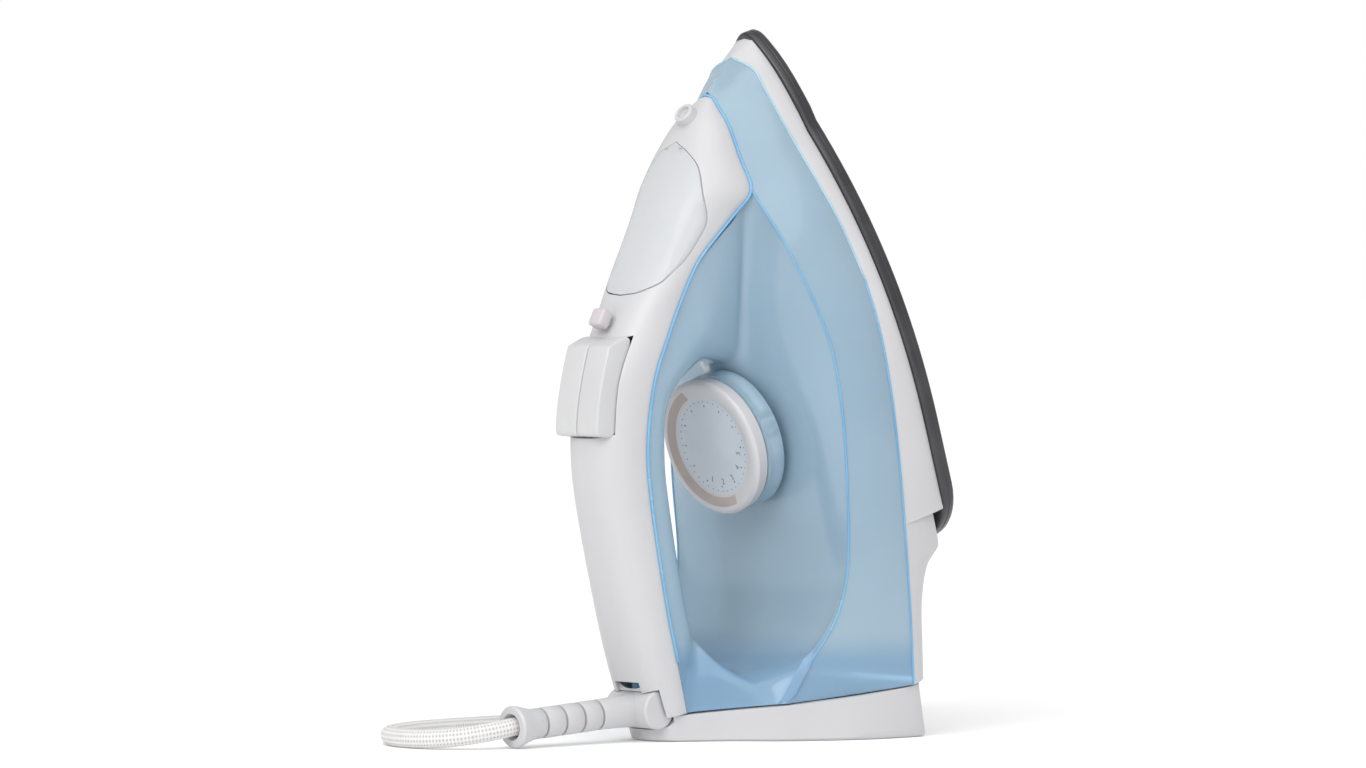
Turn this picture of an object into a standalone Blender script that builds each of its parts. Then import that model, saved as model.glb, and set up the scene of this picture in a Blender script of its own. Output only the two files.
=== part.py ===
"""Steam iron, standing on its heel.

The iron is drawn lying on its soleplate: +X runs forward to the tip (the tip is 0, so the
body is at negative X), +Z is up from the ironing face, and Y is sideways.  Everything that
belongs to the iron hangs on the empty "stand", which tips it up on its heel.  The mains cord
lies on the table the iron stands on, and is drawn there.
"""

import math

import bmesh
import bpy
import numpy as np
from mathutils import Matrix, Vector

# ---- Driving dimensions, in metres -------------------------------------------------------
SOLE_LENGTH = 0.217          # tip to rear edge of the soleplate
SOLE_WIDTH = 0.120           # widest point of the soleplate
BODY_HEIGHT = 0.1416         # ironing face to the top of the handle
SOLE_THICKNESS = 0.0068
WALL = 0.0021                # moulded covers
GAP = 0.0003                 # between touching pieces
CLEAR = 0.0005               # round moving pieces
DIAL_RADIUS = 0.0285
DIAL_HEIGHT = 0.0060
DIAL_SHAFT_RADIUS = 0.0035
BUTTON_WIDTH = 0.0266        # both buttons together
BUTTON_ROUND = 0.0022        # outer edges of the buttons
PUMP_RADIUS = 0.0052
PUMP_LENGTH = 0.016
PISTON_RADIUS = 0.0016
SPRING_WIRE = 0.0008
SPRING_RADIUS = 0.0032
SPRING_LENGTH = 0.0066
SPRING_TURNS = 5
NOZZLE_RADIUS = 0.0044
NOZZLE_DEPTH = 0.0075        # behind the handle's skin
NOZZLE_PROUD = 0.0042        # in front of it
LEVER_WIDTH = 0.0075
THUMB_LENGTH = 0.0075
THUMB_HEIGHT = 0.0052
CORD_DIAMETER = 0.0074
GUARD_LENGTH = 0.058
BARREL_RADIUS = 0.0078
BARREL_LENGTH = 0.026
COIL_RADIUS = 0.041          # middle of the coil's turns
COIL_TURNS_WIDE = 2
COIL_TURNS_HIGH = 4
HOSE_RADIUS = 0.0013
WIRE_RADIUS = 0.0011
PIN_RADIUS = 0.0024          # mains plug
PIN_LENGTH = 0.019
PIN_SPACING = 0.019
STEAM_HOLE_RADIUS = 0.0017
CHAMBER_HEIGHT = 0.0055      # steam chamber
COVER_THICKNESS = 0.0012
FLOOR_THICKNESS = 0.0016     # the water tank's floor
VALVE_ROD_RADIUS = 0.0012
VALVE_SEAT_RADIUS = 0.0042
VALVE_SEAT_HEIGHT = 0.0030
VALVE_BORE = 0.0016
THERMOSTAT_SIZE = (0.014, 0.012, 0.007)
FUSE_SIZE = (0.012, 0.005, 0.004)
TERMINAL_SIZE = (0.012, 0.030, 0.014)

# ---- The body's drawing, in millimetres, for the standard sizes --------------------------
DRAWN_LENGTH, DRAWN_WIDTH, DRAWN_HEIGHT = 217.0, 120.0, 141.6


def at(x, z, y=0.0):
    """A point of the drawing, scaled to the driving sizes, in metres."""
    return Vector((x * SOLE_LENGTH / DRAWN_LENGTH, y * SOLE_WIDTH / DRAWN_WIDTH,
                   z * BODY_HEIGHT / DRAWN_HEIGHT))


def half_width(x):
    """Half the soleplate's width at x, in drawing millimetres."""
    share = min(max(-x, 0.0), 170.0) / 170.0
    return 0.5 * DRAWN_WIDTH * (1.0 - (1.0 - share) ** 2.2)


def along(x, table):
    """Read a table of (x, value) rows, which runs from the tip backwards."""
    return float(np.interp(-x, [-row[0] for row in table], [row[1] for row in table]))


SKIRT_SEAM = [(-8, 16.2), (-26, 17), (-52, 16), (-86, 14.6), (-112, 15), (-144, 19.7),
              (-185, 26), (-217, 32), (-241, 37), (-266, 43)]
SEAM_LEAN = 0.524            # how far the leaning tank wall's inner rim hangs, for its wall
STRETCH = (SOLE_LENGTH / DRAWN_LENGTH) / (BODY_HEIGHT / DRAWN_HEIGHT)
SEAM_DROP = SEAM_LEAN * WALL * STRETCH / BODY_HEIGHT * DRAWN_HEIGHT
BASE_EDGE = [(-219, 17), (-236, 25), (-266, 33)]

# Rows of the tank's side wall: x on the skirt seam, then the ridge above it (x, z, y)
TANK_ROWS = [(-265.6, (-256.2, 97, 42)), (-250, (-244, 85, 46.5)), (-236, (-232, 71.5, 50.5)),
             (-223, (-219, 62.5, 52.5)), (-207, (-205, 57, 53.5)), (-181, (-181, 51.5, 54.8)),
             (-152, (-152, 45.3, 54.6)), (-126, (-126, 40.8, 52)), (-103, (-103, 40.9, 47.3)),
             (-79.5, (-79.5, 42.7, 40)), (-65, (-66, 43, 32.5)), (-50, (-57, 42, 26)),
             (-36, (-44, 39.5, 20.5)), (-22, (-31, 36, 13.5)), (-13, (-23, 33.4, 6.8)),
             (-8, (-18, 32, 0))]

# Finger opening: a rounded slot, which climbs a little towards the heel
GRIP_CENTRE, GRIP_LONG, GRIP_TALL, GRIP_SLANT, GRIP_POWER = (-182, 82), 62.0, 27.0, 0.10, 3.0

# Spokes of the upper housing: outer point (x, z, y), then two points on the way in to the
# finger opening, each as (share of the width, share of the way out)
SPOKES = [((-57, 42, 26), (0.45, 0.06), (0.66, 0.36)),
          ((-79.5, 42.7, 40), (0.28, 0.05), (0.52, 0.40)),
          ((-103, 40.9, 47.3), (0.28, 0.03), (0.62, 0.30)),
          ((-126, 40.8, 52), (0.35, 0.03), (0.75, 0.25)),
          ((-152, 45.3, 54.6), (0.40, 0.03), (0.80, 0.25)),
          ((-181, 51.5, 54.8), (0.40, 0.03), (0.80, 0.25)),
          ((-205, 57, 53.5), (0.40, 0.03), (0.80, 0.25)),
          ((-219, 62.5, 52.5), (0.40, 0.03), (0.80, 0.25)),
          ((-232, 71.5, 50.5), (0.40, 0.03), (0.78, 0.28)),
          ((-256.2, 97, 42), (0.42, 0.05), (0.76, 0.32)),
          ((-254, 113, 27), (0.55, 0.06), (0.88, 0.34)),
          ((-251.5, 126.7, 17), (0.60, 0.06), (0.92, 0.34)),
          ((-230, 125.7, 17), (0.60, 0.06), (0.93, 0.34)),
          ((-206, 124.7, 17), (0.60, 0.06), (0.93, 0.34)),
          ((-165, 120.7, 17), (0.60, 0.06), (0.93, 0.34)),
          ((-141, 115.7, 17), (0.60, 0.06), (0.93, 0.34)),
          ((-119, 105.7, 17.4), (0.60, 0.06), (0.93, 0.34)),
          ((-91.5, 83.7, 18.3), (0.62, 0.05), (0.93, 0.32)),
          ((-78, 71.7, 20.8), (0.60, 0.05), (0.86, 0.34)),
          ((-66, 52, 23.5), (0.52, 0.05), (0.76, 0.36))]

# Rows of the handle shell: its lower edge (x, z, y), then the top of its arch (x, z)
HANDLE_ROWS = [((-20.6, 33.2, 3.2), (-20.2, 35.6)), ((-25, 34.6, 7.6), (-22.8, 41)),
               ((-31, 36.4, 13.2), (-27, 47)), ((-44, 39.9, 20.2), (-36, 56.5)),
               ((-57, 42.6, 25.6), (-48, 67.2)), ((-64.6, 52.4, 23.2), (-60, 78)),
               ((-77, 72.4, 20.8), (-79, 94.8)), ((-90.5, 84.4, 18.4), (-98, 112.8)),
               ((-104, 95.8, 18), (-110, 123.4)), ((-118.5, 106.4, 17.4), (-121, 130)),
               ((-141, 116.4, 17), (-142, 136.8)), ((-165, 121.4, 17), (-165, 139.8)),
               ((-206, 125.4, 17), (-206, 141.6)), ((-230, 126.4, 17), (-230, 141.4)),
               ((-251, 127.4, 17), (-250, 139.4))]
ARCH_POWER = 2.6

# Heel cover: outline (z, y) on the tank's rear edge and on the floor
HEEL_FRONT = [(33, 0), (33, 44), (36, 53.5), (43, 57), (70, 54.5), (97, 42), (113, 27),
              (127, 17), (134.5, 12.8), (138.4, 6.5), (139.4, 0)]
HEEL_BACK = [(36, 0), (36, 45), (38.5, 53), (46, 55.5), (70, 53.5), (97, 41), (113, 26.5),
             (127, 17.2), (134.5, 12.8), (138.4, 6.5), (139.4, 0)]


def seam_x(z):
    """The tank's rear edge."""
    return -266.0 + (z - 43.0) * (14.5 / 84.0)


def floor_x(z):
    """The plane the iron stands on."""
    return -290.3 + (z - 36.0) * (30.7 / 103.4)


# ---- Helpers -----------------------------------------------------------------------------
COLOURS = {
    "white": ((0.80, 0.80, 0.82), 0.35, 0.0),
    "blue": ((0.35, 0.62, 0.82), 0.15, 0.0),
    "clear": ((0.85, 0.88, 0.90), 0.08, 0.0),
    "grey": ((0.58, 0.55, 0.56), 0.40, 0.0),
    "sole": ((0.035, 0.035, 0.040), 0.30, 0.2),
    "steel": ((0.62, 0.62, 0.64), 0.25, 1.0),
    "brass": ((0.70, 0.52, 0.25), 0.30, 1.0),
    "rubber": ((0.10, 0.10, 0.11), 0.70, 0.0),
    "braid": ((0.72, 0.71, 0.69), 0.85, 0.0),
    "copper": ((0.75, 0.35, 0.20), 0.35, 1.0),
}


def material(slot):
    name = "iron_" + slot
    if name in bpy.data.materials:
        return bpy.data.materials[name]
    colour, roughness, metallic = COLOURS[slot]
    made = bpy.data.materials.new(name)
    made.use_nodes = True
    shader = made.node_tree.nodes["Principled BSDF"]
    shader.inputs["Base Color"].default_value = (*colour, 1.0)
    shader.inputs["Roughness"].default_value = roughness
    shader.inputs["Metallic"].default_value = metallic
    return made


def new_object(name, data, slot, parent=None):
    piece = bpy.data.objects.new(name, data)
    parts.objects.link(piece)
    if slot:
        data.materials.append(material(slot))
    piece.parent = parent
    return piece


def mesh_object(name, bm, slot, parent=None, origin=None):
    """Turn a bmesh into an object whose origin is the given point of its parent's frame."""
    if origin is not None:
        bmesh.ops.translate(bm, verts=bm.verts, vec=-Vector(origin))
    bmesh.ops.recalc_face_normals(bm, faces=bm.faces)
    mesh = bpy.data.meshes.new(name)
    bm.to_mesh(mesh)
    bm.free()
    mesh.shade_smooth()
    mesh.set_sharp_from_angle(angle=math.radians(35))
    piece = new_object(name, mesh, slot, parent)
    if origin is not None:
        piece.location = origin
    return piece


def grid(rows, closed_rows=False, closed_columns=False):
    """A surface through rows of points; every row has as many points as the first."""
    bm = bmesh.new()
    table = [[bm.verts.new(p) for p in row] for row in rows]
    if closed_rows:
        table.append(table[0])
    for upper, lower in zip(table, table[1:]):
        ring = list(zip(upper, lower))
        if closed_columns:
            ring.append(ring[0])
        for (a, b), (c, d) in zip(ring, ring[1:]):
            bm.faces.new([v for i, v in enumerate((a, c, d, b)) if v not in (a, c, d, b)[:i]])
    bmesh.ops.remove_doubles(bm, verts=bm.verts, dist=0.00002)
    return bm


def face_outwards(bm, inside):
    """Point an open surface's faces away from a point inside it."""
    bmesh.ops.recalc_face_normals(bm, faces=bm.faces)
    bm.faces.ensure_lookup_table()
    far = max(bm.faces, key=lambda f: (f.calc_center_median() - inside).length)
    if far.normal.dot(far.calc_center_median() - inside) < 0:
        bmesh.ops.reverse_faces(bm, faces=bm.faces)


def shell(name, bm, slot, inside, wall=WALL, parent=None):
    """A moulded cover: an open surface with its wall on the inner side."""
    face_outwards(bm, inside)
    mesh = bpy.data.meshes.new(name)
    bm.to_mesh(mesh)
    bm.free()
    mesh.shade_smooth()
    mesh.set_sharp_from_angle(angle=math.radians(35))
    piece = new_object(name, mesh, slot, parent)
    wall_thickness = piece.modifiers.new("wall", "SOLIDIFY")
    wall_thickness.thickness = wall
    wall_thickness.offset = -1.0
    wall_thickness.use_even_offset = False
    return piece


def smooth_through(points, steps):
    """Catmull-Rom points through a short open list, with steps points for each span."""
    pts = [np.array(p, float) for p in points]
    pts = [2 * pts[0] - pts[1]] + pts + [2 * pts[-1] - pts[-2]]
    out = []
    for i in range(1, len(pts) - 2):
        for k in range(steps):
            t = k / steps
            a, b, c, d = pts[i - 1:i + 3]
            out.append(0.5 * (2 * b + (c - a) * t + (2 * a - 5 * b + 4 * c - d) * t ** 2
                              + (3 * b - a - 3 * c + d) * t ** 3))
    out.append(pts[-2])
    return [Vector(p) for p in out]


def turned(name, profile, slot, base, axis, parent=None, steps=20, origin=None):
    """A turned piece: (radius, height) rows from the top down, stood on base along axis."""
    mesh = bpy.data.meshes.new(name)
    mesh.from_pydata([(r, 0, h) for r, h in profile], [(i, i + 1) for i in range(len(profile) - 1)],
                     [])
    piece = new_object(name, mesh, slot, parent)
    spin = piece.modifiers.new("turn", "SCREW")
    spin.steps = spin.render_steps = steps
    spin.use_merge_vertices = True
    spin.merge_threshold = 0.00001
    turn = Vector(axis).to_track_quat("Z", "Y").to_matrix().to_4x4()
    shift = Vector(base) if origin is None else Vector(origin)
    piece.matrix_local = Matrix.Translation(shift) @ turn
    if origin is not None:
        mesh.transform(Matrix.Translation(turn.inverted() @ (Vector(base) - Vector(origin))))
    return piece


def rod(name, start, end, radius, slot, parent=None, segments=12, origin=None):
    """A round bar between two points."""
    start, end = Vector(start), Vector(end)
    bm = bmesh.new()
    bmesh.ops.create_cone(bm, cap_ends=True, segments=segments, radius1=radius, radius2=radius,
                          depth=(end - start).length)
    turn = (end - start).to_track_quat("Z", "Y").to_matrix().to_4x4()
    bmesh.ops.transform(bm, matrix=Matrix.Translation((start + end) / 2) @ turn, verts=bm.verts)
    return mesh_object(name, bm, slot, parent, origin)


def block(name, centre, size, slot, parent=None, turn=None, bevel=0.0, origin=None):
    """A box, with its edges rounded over if asked."""
    bm = bmesh.new()
    bmesh.ops.create_cube(bm, size=1.0)
    bmesh.ops.scale(bm, vec=Vector(size), verts=bm.verts)
    if bevel:
        bmesh.ops.bevel(bm, geom=bm.edges, offset=bevel, segments=2, affect="EDGES", profile=0.5)
    if turn is not None:
        bmesh.ops.transform(bm, matrix=turn.to_4x4(), verts=bm.verts)
    bmesh.ops.translate(bm, verts=bm.verts, vec=Vector(centre))
    return mesh_object(name, bm, slot, parent, origin)


def plate(name, outline, z_low, z_high, slot, parent=None, bevel=0.0):
    """A flat plate: an outline of (x, y) points between two heights."""
    bm = bmesh.new()
    bottom = bm.faces.new([bm.verts.new((x, y, z_low)) for x, y in outline])
    raised = bmesh.ops.extrude_face_region(bm, geom=[bottom])
    top = [v for v in raised["geom"] if isinstance(v, bmesh.types.BMVert)]
    bmesh.ops.translate(bm, verts=top, vec=(0, 0, z_high - z_low))
    if bevel:
        rims = [e for e in bm.edges if abs(e.verts[0].co.z - e.verts[1].co.z) < 1e-9]
        bmesh.ops.bevel(bm, geom=rims, offset=bevel, segments=1, affect="EDGES", profile=0.5)
    return mesh_object(name, bm, slot, parent)


def wire(name, points, radius, slot, parent=None, smooth=4, resolution=2):
    """A tube along a smooth line through the given points."""
    line = smooth_through(points, smooth) if smooth else [Vector(p) for p in points]
    curve = bpy.data.curves.new(name, "CURVE")
    curve.dimensions = "3D"
    curve.bevel_depth = radius
    curve.bevel_resolution = resolution
    curve.use_fill_caps = True
    spline = curve.splines.new("POLY")
    spline.points.add(len(line) - 1)
    for point, place in zip(spline.points, line):
        point.co = (*place, 1.0)
    return new_object(name, curve, slot, parent)


def coil_spring(name, base, axis, length, radius, turns, slot, parent):
    """A round-wire compression spring."""
    turn = Vector(axis).to_track_quat("Z", "Y").to_matrix()
    steps = turns * 10
    points = [Vector(base) + turn @ Vector((radius * math.cos(math.tau * turns * i / steps),
                                            radius * math.sin(math.tau * turns * i / steps),
                                            length * i / steps)) for i in range(steps + 1)]
    return wire(name, points, SPRING_WIRE / 2, slot, parent, smooth=0, resolution=0)


def cut(piece, cutter, operation="DIFFERENCE"):
    """Cut a piece with another object, which goes out of sight."""
    for old in list(cutter.users_collection):
        old.objects.unlink(cutter)
    cutters.objects.link(cutter)
    cutter.hide_render = True
    cutter.display_type = "WIRE"
    boolean = piece.modifiers.new(operation.lower(), "BOOLEAN")
    boolean.operation = operation
    boolean.object = cutter
    boolean.solver = "EXACT"


def outline_round(inset, step=12.0, rear=None):
    """The soleplate's outline, moved in by some drawing millimetres, as (x, y) in metres."""
    rear = -DRAWN_LENGTH + inset if rear is None else rear
    xs = list(np.arange(-4.0 - inset * 1.3, rear + 24.0, -step)) + [rear + 24.0]
    side = [(x, half_width(x) - inset) for x in xs if half_width(x) - inset > 1.5]
    corner = 22.0
    flank = half_width(rear + 24.0) - inset
    for k in range(1, 6):
        turn = math.radians(90 * k / 5)
        side.append((rear + corner * (1 - math.sin(turn)), flank - corner * (1 - math.cos(turn))))
    tip = [(-1.2 - inset * 1.6, 0.0)]
    whole = tip + side + [(x, -y) for x, y in reversed(side)]
    return [tuple(at(x, 0, y).xy) for x, y in whole]


# ---- Scene -------------------------------------------------------------------------------
for old in list(bpy.data.objects):
    bpy.data.objects.remove(old, do_unlink=True)

parts = bpy.data.collections.new("steam_iron")
cutters = bpy.data.collections.new("cutters")
bpy.context.scene.collection.children.link(parts)
bpy.context.scene.collection.children.link(cutters)

heel_low, heel_high = at(floor_x(36.0), 36.0), at(floor_x(139.4), 139.4)
heel_line = heel_high - heel_low
LEAN = math.atan2(heel_line.x, heel_line.z)
stand = bpy.data.objects.new("stand", None)
parts.objects.link(stand)
tip_up = Matrix.Rotation(-(math.pi / 2 + LEAN), 4, "Y")
stand.matrix_world = tip_up @ Matrix.Translation(-(heel_low + heel_high) / 2)
to_table = stand.matrix_world.copy()
BODY_MIDDLE = at(-150, 60)

# ---- Soleplate, heater and steam chamber -------------------------------------------------
soleplate = plate("soleplate", outline_round(0.0), 0.0, SOLE_THICKNESS, "sole", stand,
                  bevel=0.0012)
for k in range(7):
    hole_x = -34.0 - 21.0 * k
    for side in (-1, 1):
        spread = 0.62 * half_width(hole_x)
        hole = rod(f"steam_hole_{k}_{side}", at(hole_x, 0, side * spread) - Vector((0, 0, 0.002)),
                   at(hole_x, 0, side * spread) + Vector((0, 0, SOLE_THICKNESS + 0.002)),
                   STEAM_HOLE_RADIUS, None, stand, segments=8)
        cut(soleplate, hole)

CHAMBER_LOW = SOLE_THICKNESS + GAP
CHAMBER_HIGH = CHAMBER_LOW + CHAMBER_HEIGHT


def inner_outline(front, rear, inset, step=18.0):
    """A leaf inside the soleplate's outline between two x places."""
    xs = list(np.arange(front, rear, -step)) + [rear]
    side = [(x, max(half_width(x) - inset, 3.0)) for x in xs]
    whole = side + [(x, -y) for x, y in reversed(side)]
    return [tuple(at(x, 0, y).xy) for x, y in whole]


chamber = plate("steam_chamber", inner_outline(-58, -150, 26.5), CHAMBER_LOW, CHAMBER_HIGH,
                "steel", stand)
hollow = plate("chamber_hollow", inner_outline(-66, -145, 30.5), CHAMBER_LOW + 0.0015,
               CHAMBER_HIGH + 0.004, None, stand)
cut(chamber, hollow)
plate("chamber_cover", inner_outline(-58, -150, 26.5), CHAMBER_HIGH + GAP,
      CHAMBER_HIGH + GAP + COVER_THICKNESS, "steel", stand)

HEATER_RADIUS = 0.0033
heater_z = SOLE_THICKNESS + GAP + HEATER_RADIUS
heater_side = [(x, half_width(x) - 19.0) for x in (-62, -85, -110, -140, -170, -186)]
heater_line = [(x, y) for x, y in reversed(heater_side)] + [(-47, 0.0)]
heater_line += [(x, -y) for x, y in heater_side]
wire("heating_element", [at(x, 0, y) + Vector((0, 0, heater_z)) for x, y in heater_line],
     HEATER_RADIUS, "steel", stand, smooth=3)

# ---- Skirt and rear base -----------------------------------------------------------------
SKIRT_LOW = SOLE_THICKNESS + GAP


def skirt_row(x, y_low, y_high, z_high, inward):
    """Four corners of the skirt's wall; inward points to the iron's middle line."""
    low, high = at(x, 0, y_low), at(x, z_high, y_high)
    low.z = SKIRT_LOW
    step = Vector(inward).normalized() * WALL
    return [low, high, high + step, low + step]


SKIRT_REAR = -199.6          # where the rear base takes over from the skirt
skirt_xs = [SKIRT_REAR, -185, -165, -144, -125, -105, -86, -70, -55, -40, -26, -15]
side_rows = []
for x in skirt_xs:
    slope = (half_width(x + 2) - half_width(x - 2)) / 4.0
    inward = (-abs(slope), -1.0, 0.0)
    side_rows.append(skirt_row(x, half_width(x) - 0.8, half_width(x) - 1.5,
                               along(x, SKIRT_SEAM) - SEAM_DROP, inward))
tip_row = skirt_row(-4.2, 0, 0, 16.2 - SEAM_DROP, (-1, 0, 0))
tip_row[1] = at(-7.6, 16.2 - SEAM_DROP)
tip_row[2] = tip_row[1] - Vector((WALL * 1.6, 0, 0))
tip_row[3] = tip_row[0] - Vector((WALL * 1.6, 0, 0))
flip = Matrix.Scale(-1, 4, (0, 1, 0))
mirrored = [[flip @ p for p in row] for row in reversed(side_rows)]
skirt_grid = grid(side_rows + [tip_row] + mirrored, closed_columns=True)
bmesh.ops.holes_fill(skirt_grid, edges=[e for e in skirt_grid.edges if e.is_boundary], sides=8)
mesh_object("skirt", skirt_grid, "white", stand)

base_rows = []
for x in (SKIRT_REAR - 0.4, -210, -216, -219.4, -228, -238, -252, -265.6):
    low = along(x, BASE_EDGE) if x < -216 else SKIRT_LOW / BODY_HEIGHT * DRAWN_HEIGHT
    seam = along(x, SKIRT_SEAM) - SEAM_DROP
    edge = half_width(x) - 1.5
    half = [(low, 0), (low, 0.84 * edge), (low + 0.16 * (seam - low), 0.94 * edge),
            (low + 0.5 * (seam - low), 0.985 * edge), (seam, edge)]
    base_rows.append([at(x, z, -y) for z, y in reversed(half)] + [at(x, z, y) for z, y in half[1:]])
shell("rear_base", grid(base_rows), "white", at(-240, 60), parent=stand)

# ---- Water tank --------------------------------------------------------------------------
RIDGE_LAP = WALL + 0.0007     # the upper housing's edge covers the top of the tank's wall
EXTRA_LAP = 0.0016            # more room where the two walls run side by side
SEAM_GAP = 0.0005
tank_rows = []
for seam_at, ridge in TANK_ROWS:
    low_z = along(seam_at, SKIRT_SEAM)
    low_y = half_width(seam_at) - 1.5 if seam_at < -8 else 0.0
    rise = [at(seam_at, low_z, low_y), at(*ridge)]
    under = RIDGE_LAP if seam_at < -30 else SEAM_GAP
    if -70 < seam_at < -30 or seam_at < -230:
        under += EXTRA_LAP
    rise[1] = rise[1].lerp(rise[0], under / (rise[1] - rise[0]).length)
    bulge = 1.6 if seam_at < -8 else 0.0
    row = []
    for k in range(5):
        t = k / 4
        p = rise[0].lerp(rise[1], t)
        out = math.sin(math.pi * t) * bulge * 0.001
        p.y += out * min(1.0, low_y / 30.0)
        row.append(p)
    tank_rows.append(row)
tank_grid = grid(tank_rows + [[flip @ p for p in row] for row in reversed(tank_rows[:-1])])
shell("water_tank", tank_grid, "blue", BODY_MIDDLE, parent=stand)


def grip_edge(point):
    """The finger opening's edge in the direction of an outer point."""
    cx, cz = GRIP_CENTRE
    u, w = (point[0] - cx) / GRIP_LONG, (point[1] - cz) / GRIP_TALL
    size = (abs(u) ** GRIP_POWER + abs(w) ** GRIP_POWER) ** (1 / GRIP_POWER)
    x, z = cx + GRIP_LONG * u / size, cz + GRIP_TALL * w / size
    return x, z + GRIP_SLANT * (cx - x)


def spoke_row(outer, first, second):
    """Points from the finger opening's edge out to the housing's edge."""
    x0, z0 = grip_edge(outer)
    x1, z1, y1 = outer
    inner = [(x0, z0, 0.0)]
    for share, way in (first, second):
        inner.append((x0 + (x1 - x0) * way, z0 + (z1 - z0) * way, y1 * share))
    inner.append((x1, z1, y1))
    ghost = (inner[1][0], inner[1][1], -inner[1][2])
    line = smooth_through([ghost] + inner, 2)[2:]
    return [at(*p) for p in line]


half_ring = [spoke_row(*spoke) for spoke in SPOKES]
ring_rows = [[flip @ p for p in reversed(row)] + row[1:] for row in half_ring]
shell("upper_housing", grid(ring_rows, closed_rows=True), "blue", at(-182, 96), parent=stand)

TANK_FLOOR_Z = CHAMBER_HIGH + 0.0045
TANK_FLOOR_TOP = TANK_FLOOR_Z + FLOOR_THICKNESS
plate("tank_floor", inner_outline(-24, -205, 6.5, step=22), TANK_FLOOR_Z, TANK_FLOOR_TOP, "clear",
      stand)

# ---- Handle shell, filler lid and its bowl -----------------------------------------------


def arch_row(edge, top, steps=8):
    """An arch over the handle from one lower edge to the other."""
    row = []
    for k in range(steps + 1):
        turn = math.pi * k / steps
        side, rise = math.cos(turn), math.sin(turn)
        across = math.copysign(abs(side) ** (2 / ARCH_POWER), side)
        up = rise ** (2 / ARCH_POWER)
        x, z = edge[0] + (top[0] - edge[0]) * up, edge[1] + (top[1] - edge[1]) * up
        row.append(at(x, z, edge[2] * across))
    return row


shell("handle_shell", grid([arch_row(*row) for row in HANDLE_ROWS]), "white", at(-150, 95),
      parent=stand)
handle_shell = bpy.data.objects["handle_shell"]

LID_FRONT, LID_REAR = at(-33, 54), at(-86, 101)
lid_along = (LID_REAR - LID_FRONT).normalized()
lid_up = Vector((0, 1, 0)).cross(lid_along) * -1.0
if lid_up.z < 0:
    lid_up = -lid_up
LID_LENGTH = (LID_REAR - LID_FRONT).length
LID_GAP = 0.0005
LID_SIDE = [(0.0, 0.02), (0.12, 0.40), (0.28, 0.72), (0.45, 0.94), (0.60, 1.0), (0.76, 0.96),
            (0.9, 0.88), (1.0, 0.80)]
LID_HALF_WIDTH = at(0, 0, 18.8).y


def on_lid(s, n, y=0.0):
    """A point s along the lid from its front tip, n above its top line."""
    return LID_FRONT + lid_along * s + lid_up * n + Vector((0, y, 0))


def leaf_prism(name, grow, low, high, slot=None, front=0.0, rear=1.0, share=1.0):
    """The lid's leaf outline as a prism between two heights over the lid's top line."""
    side = [(s * LID_LENGTH, w * LID_HALF_WIDTH * share) for s, w in LID_SIDE if front <= s <= rear]
    side = [(s, max(w + grow, 0.0004)) for s, w in side]
    side[-1] = (side[-1][0] + grow, side[-1][1])
    side[0] = (side[0][0] - grow * 1.2, side[0][1])
    ring = side + [(s, -w) for s, w in reversed(side)]
    bm = bmesh.new()
    bottom = [bm.verts.new(on_lid(s, low, w)) for s, w in ring]
    top = [bm.verts.new(on_lid(s, high, w)) for s, w in ring]
    bm.faces.new(bottom)
    bm.faces.new(top)
    for i in range(len(ring)):
        j = (i + 1) % len(ring)
        bm.faces.new((bottom[i], bottom[j], top[j], top[i]))
    return mesh_object(name, bm, slot, stand)


LID_HINGE_S, LID_HINGE_N = 0.003, -0.0010
LID_PIN_RADIUS = 0.0008
lid_hinge = on_lid(LID_HINGE_S, LID_HINGE_N)
lid = bpy.data.objects.new("filler_lid", handle_shell.data.copy())
parts.objects.link(lid)
lid.parent = stand
lid.data.materials.clear()
lid.data.materials.append(material("clear"))
lid.data.transform(Matrix.Translation(-lid_hinge))
lid.location = lid_hinge
lid_wall = lid.modifiers.new("wall", "SOLIDIFY")
lid_wall.thickness, lid_wall.offset, lid_wall.use_even_offset = WALL, -1.0, False
cut(lid, leaf_prism("lid_outline", -LID_GAP / 2, -0.018, 0.010), "INTERSECT")
cut(handle_shell, leaf_prism("lid_opening", LID_GAP / 2, -0.020, 0.010))
LIP_TILT = math.radians(9.0)  # lifts the finger lip clear of the handle behind the lid
lip_turn = Matrix((lid_along * math.cos(LIP_TILT) + lid_up * math.sin(LIP_TILT),
                   Vector((0, 1, 0)),
                   lid_up * math.cos(LIP_TILT) - lid_along * math.sin(LIP_TILT))).transposed()
LIP_SIZE = (0.011, 0.013, 0.0022)
cut(lid, block("lid_lip", on_lid(LID_LENGTH - 0.0005, 0.0017), LIP_SIZE, None, stand, lip_turn),
    "UNION")
pin_reach = Vector((0, 0.0052, 0))
pin_hole = rod("lid_pin_hole", lid_hinge - pin_reach * 1.1, lid_hinge + pin_reach * 1.1,
               LID_PIN_RADIUS + GAP, None, stand)
cut(lid, pin_hole)
cut(handle_shell, pin_hole)
rod("lid_hinge_pin", lid_hinge - pin_reach, lid_hinge + pin_reach, LID_PIN_RADIUS, "steel", stand)

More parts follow.
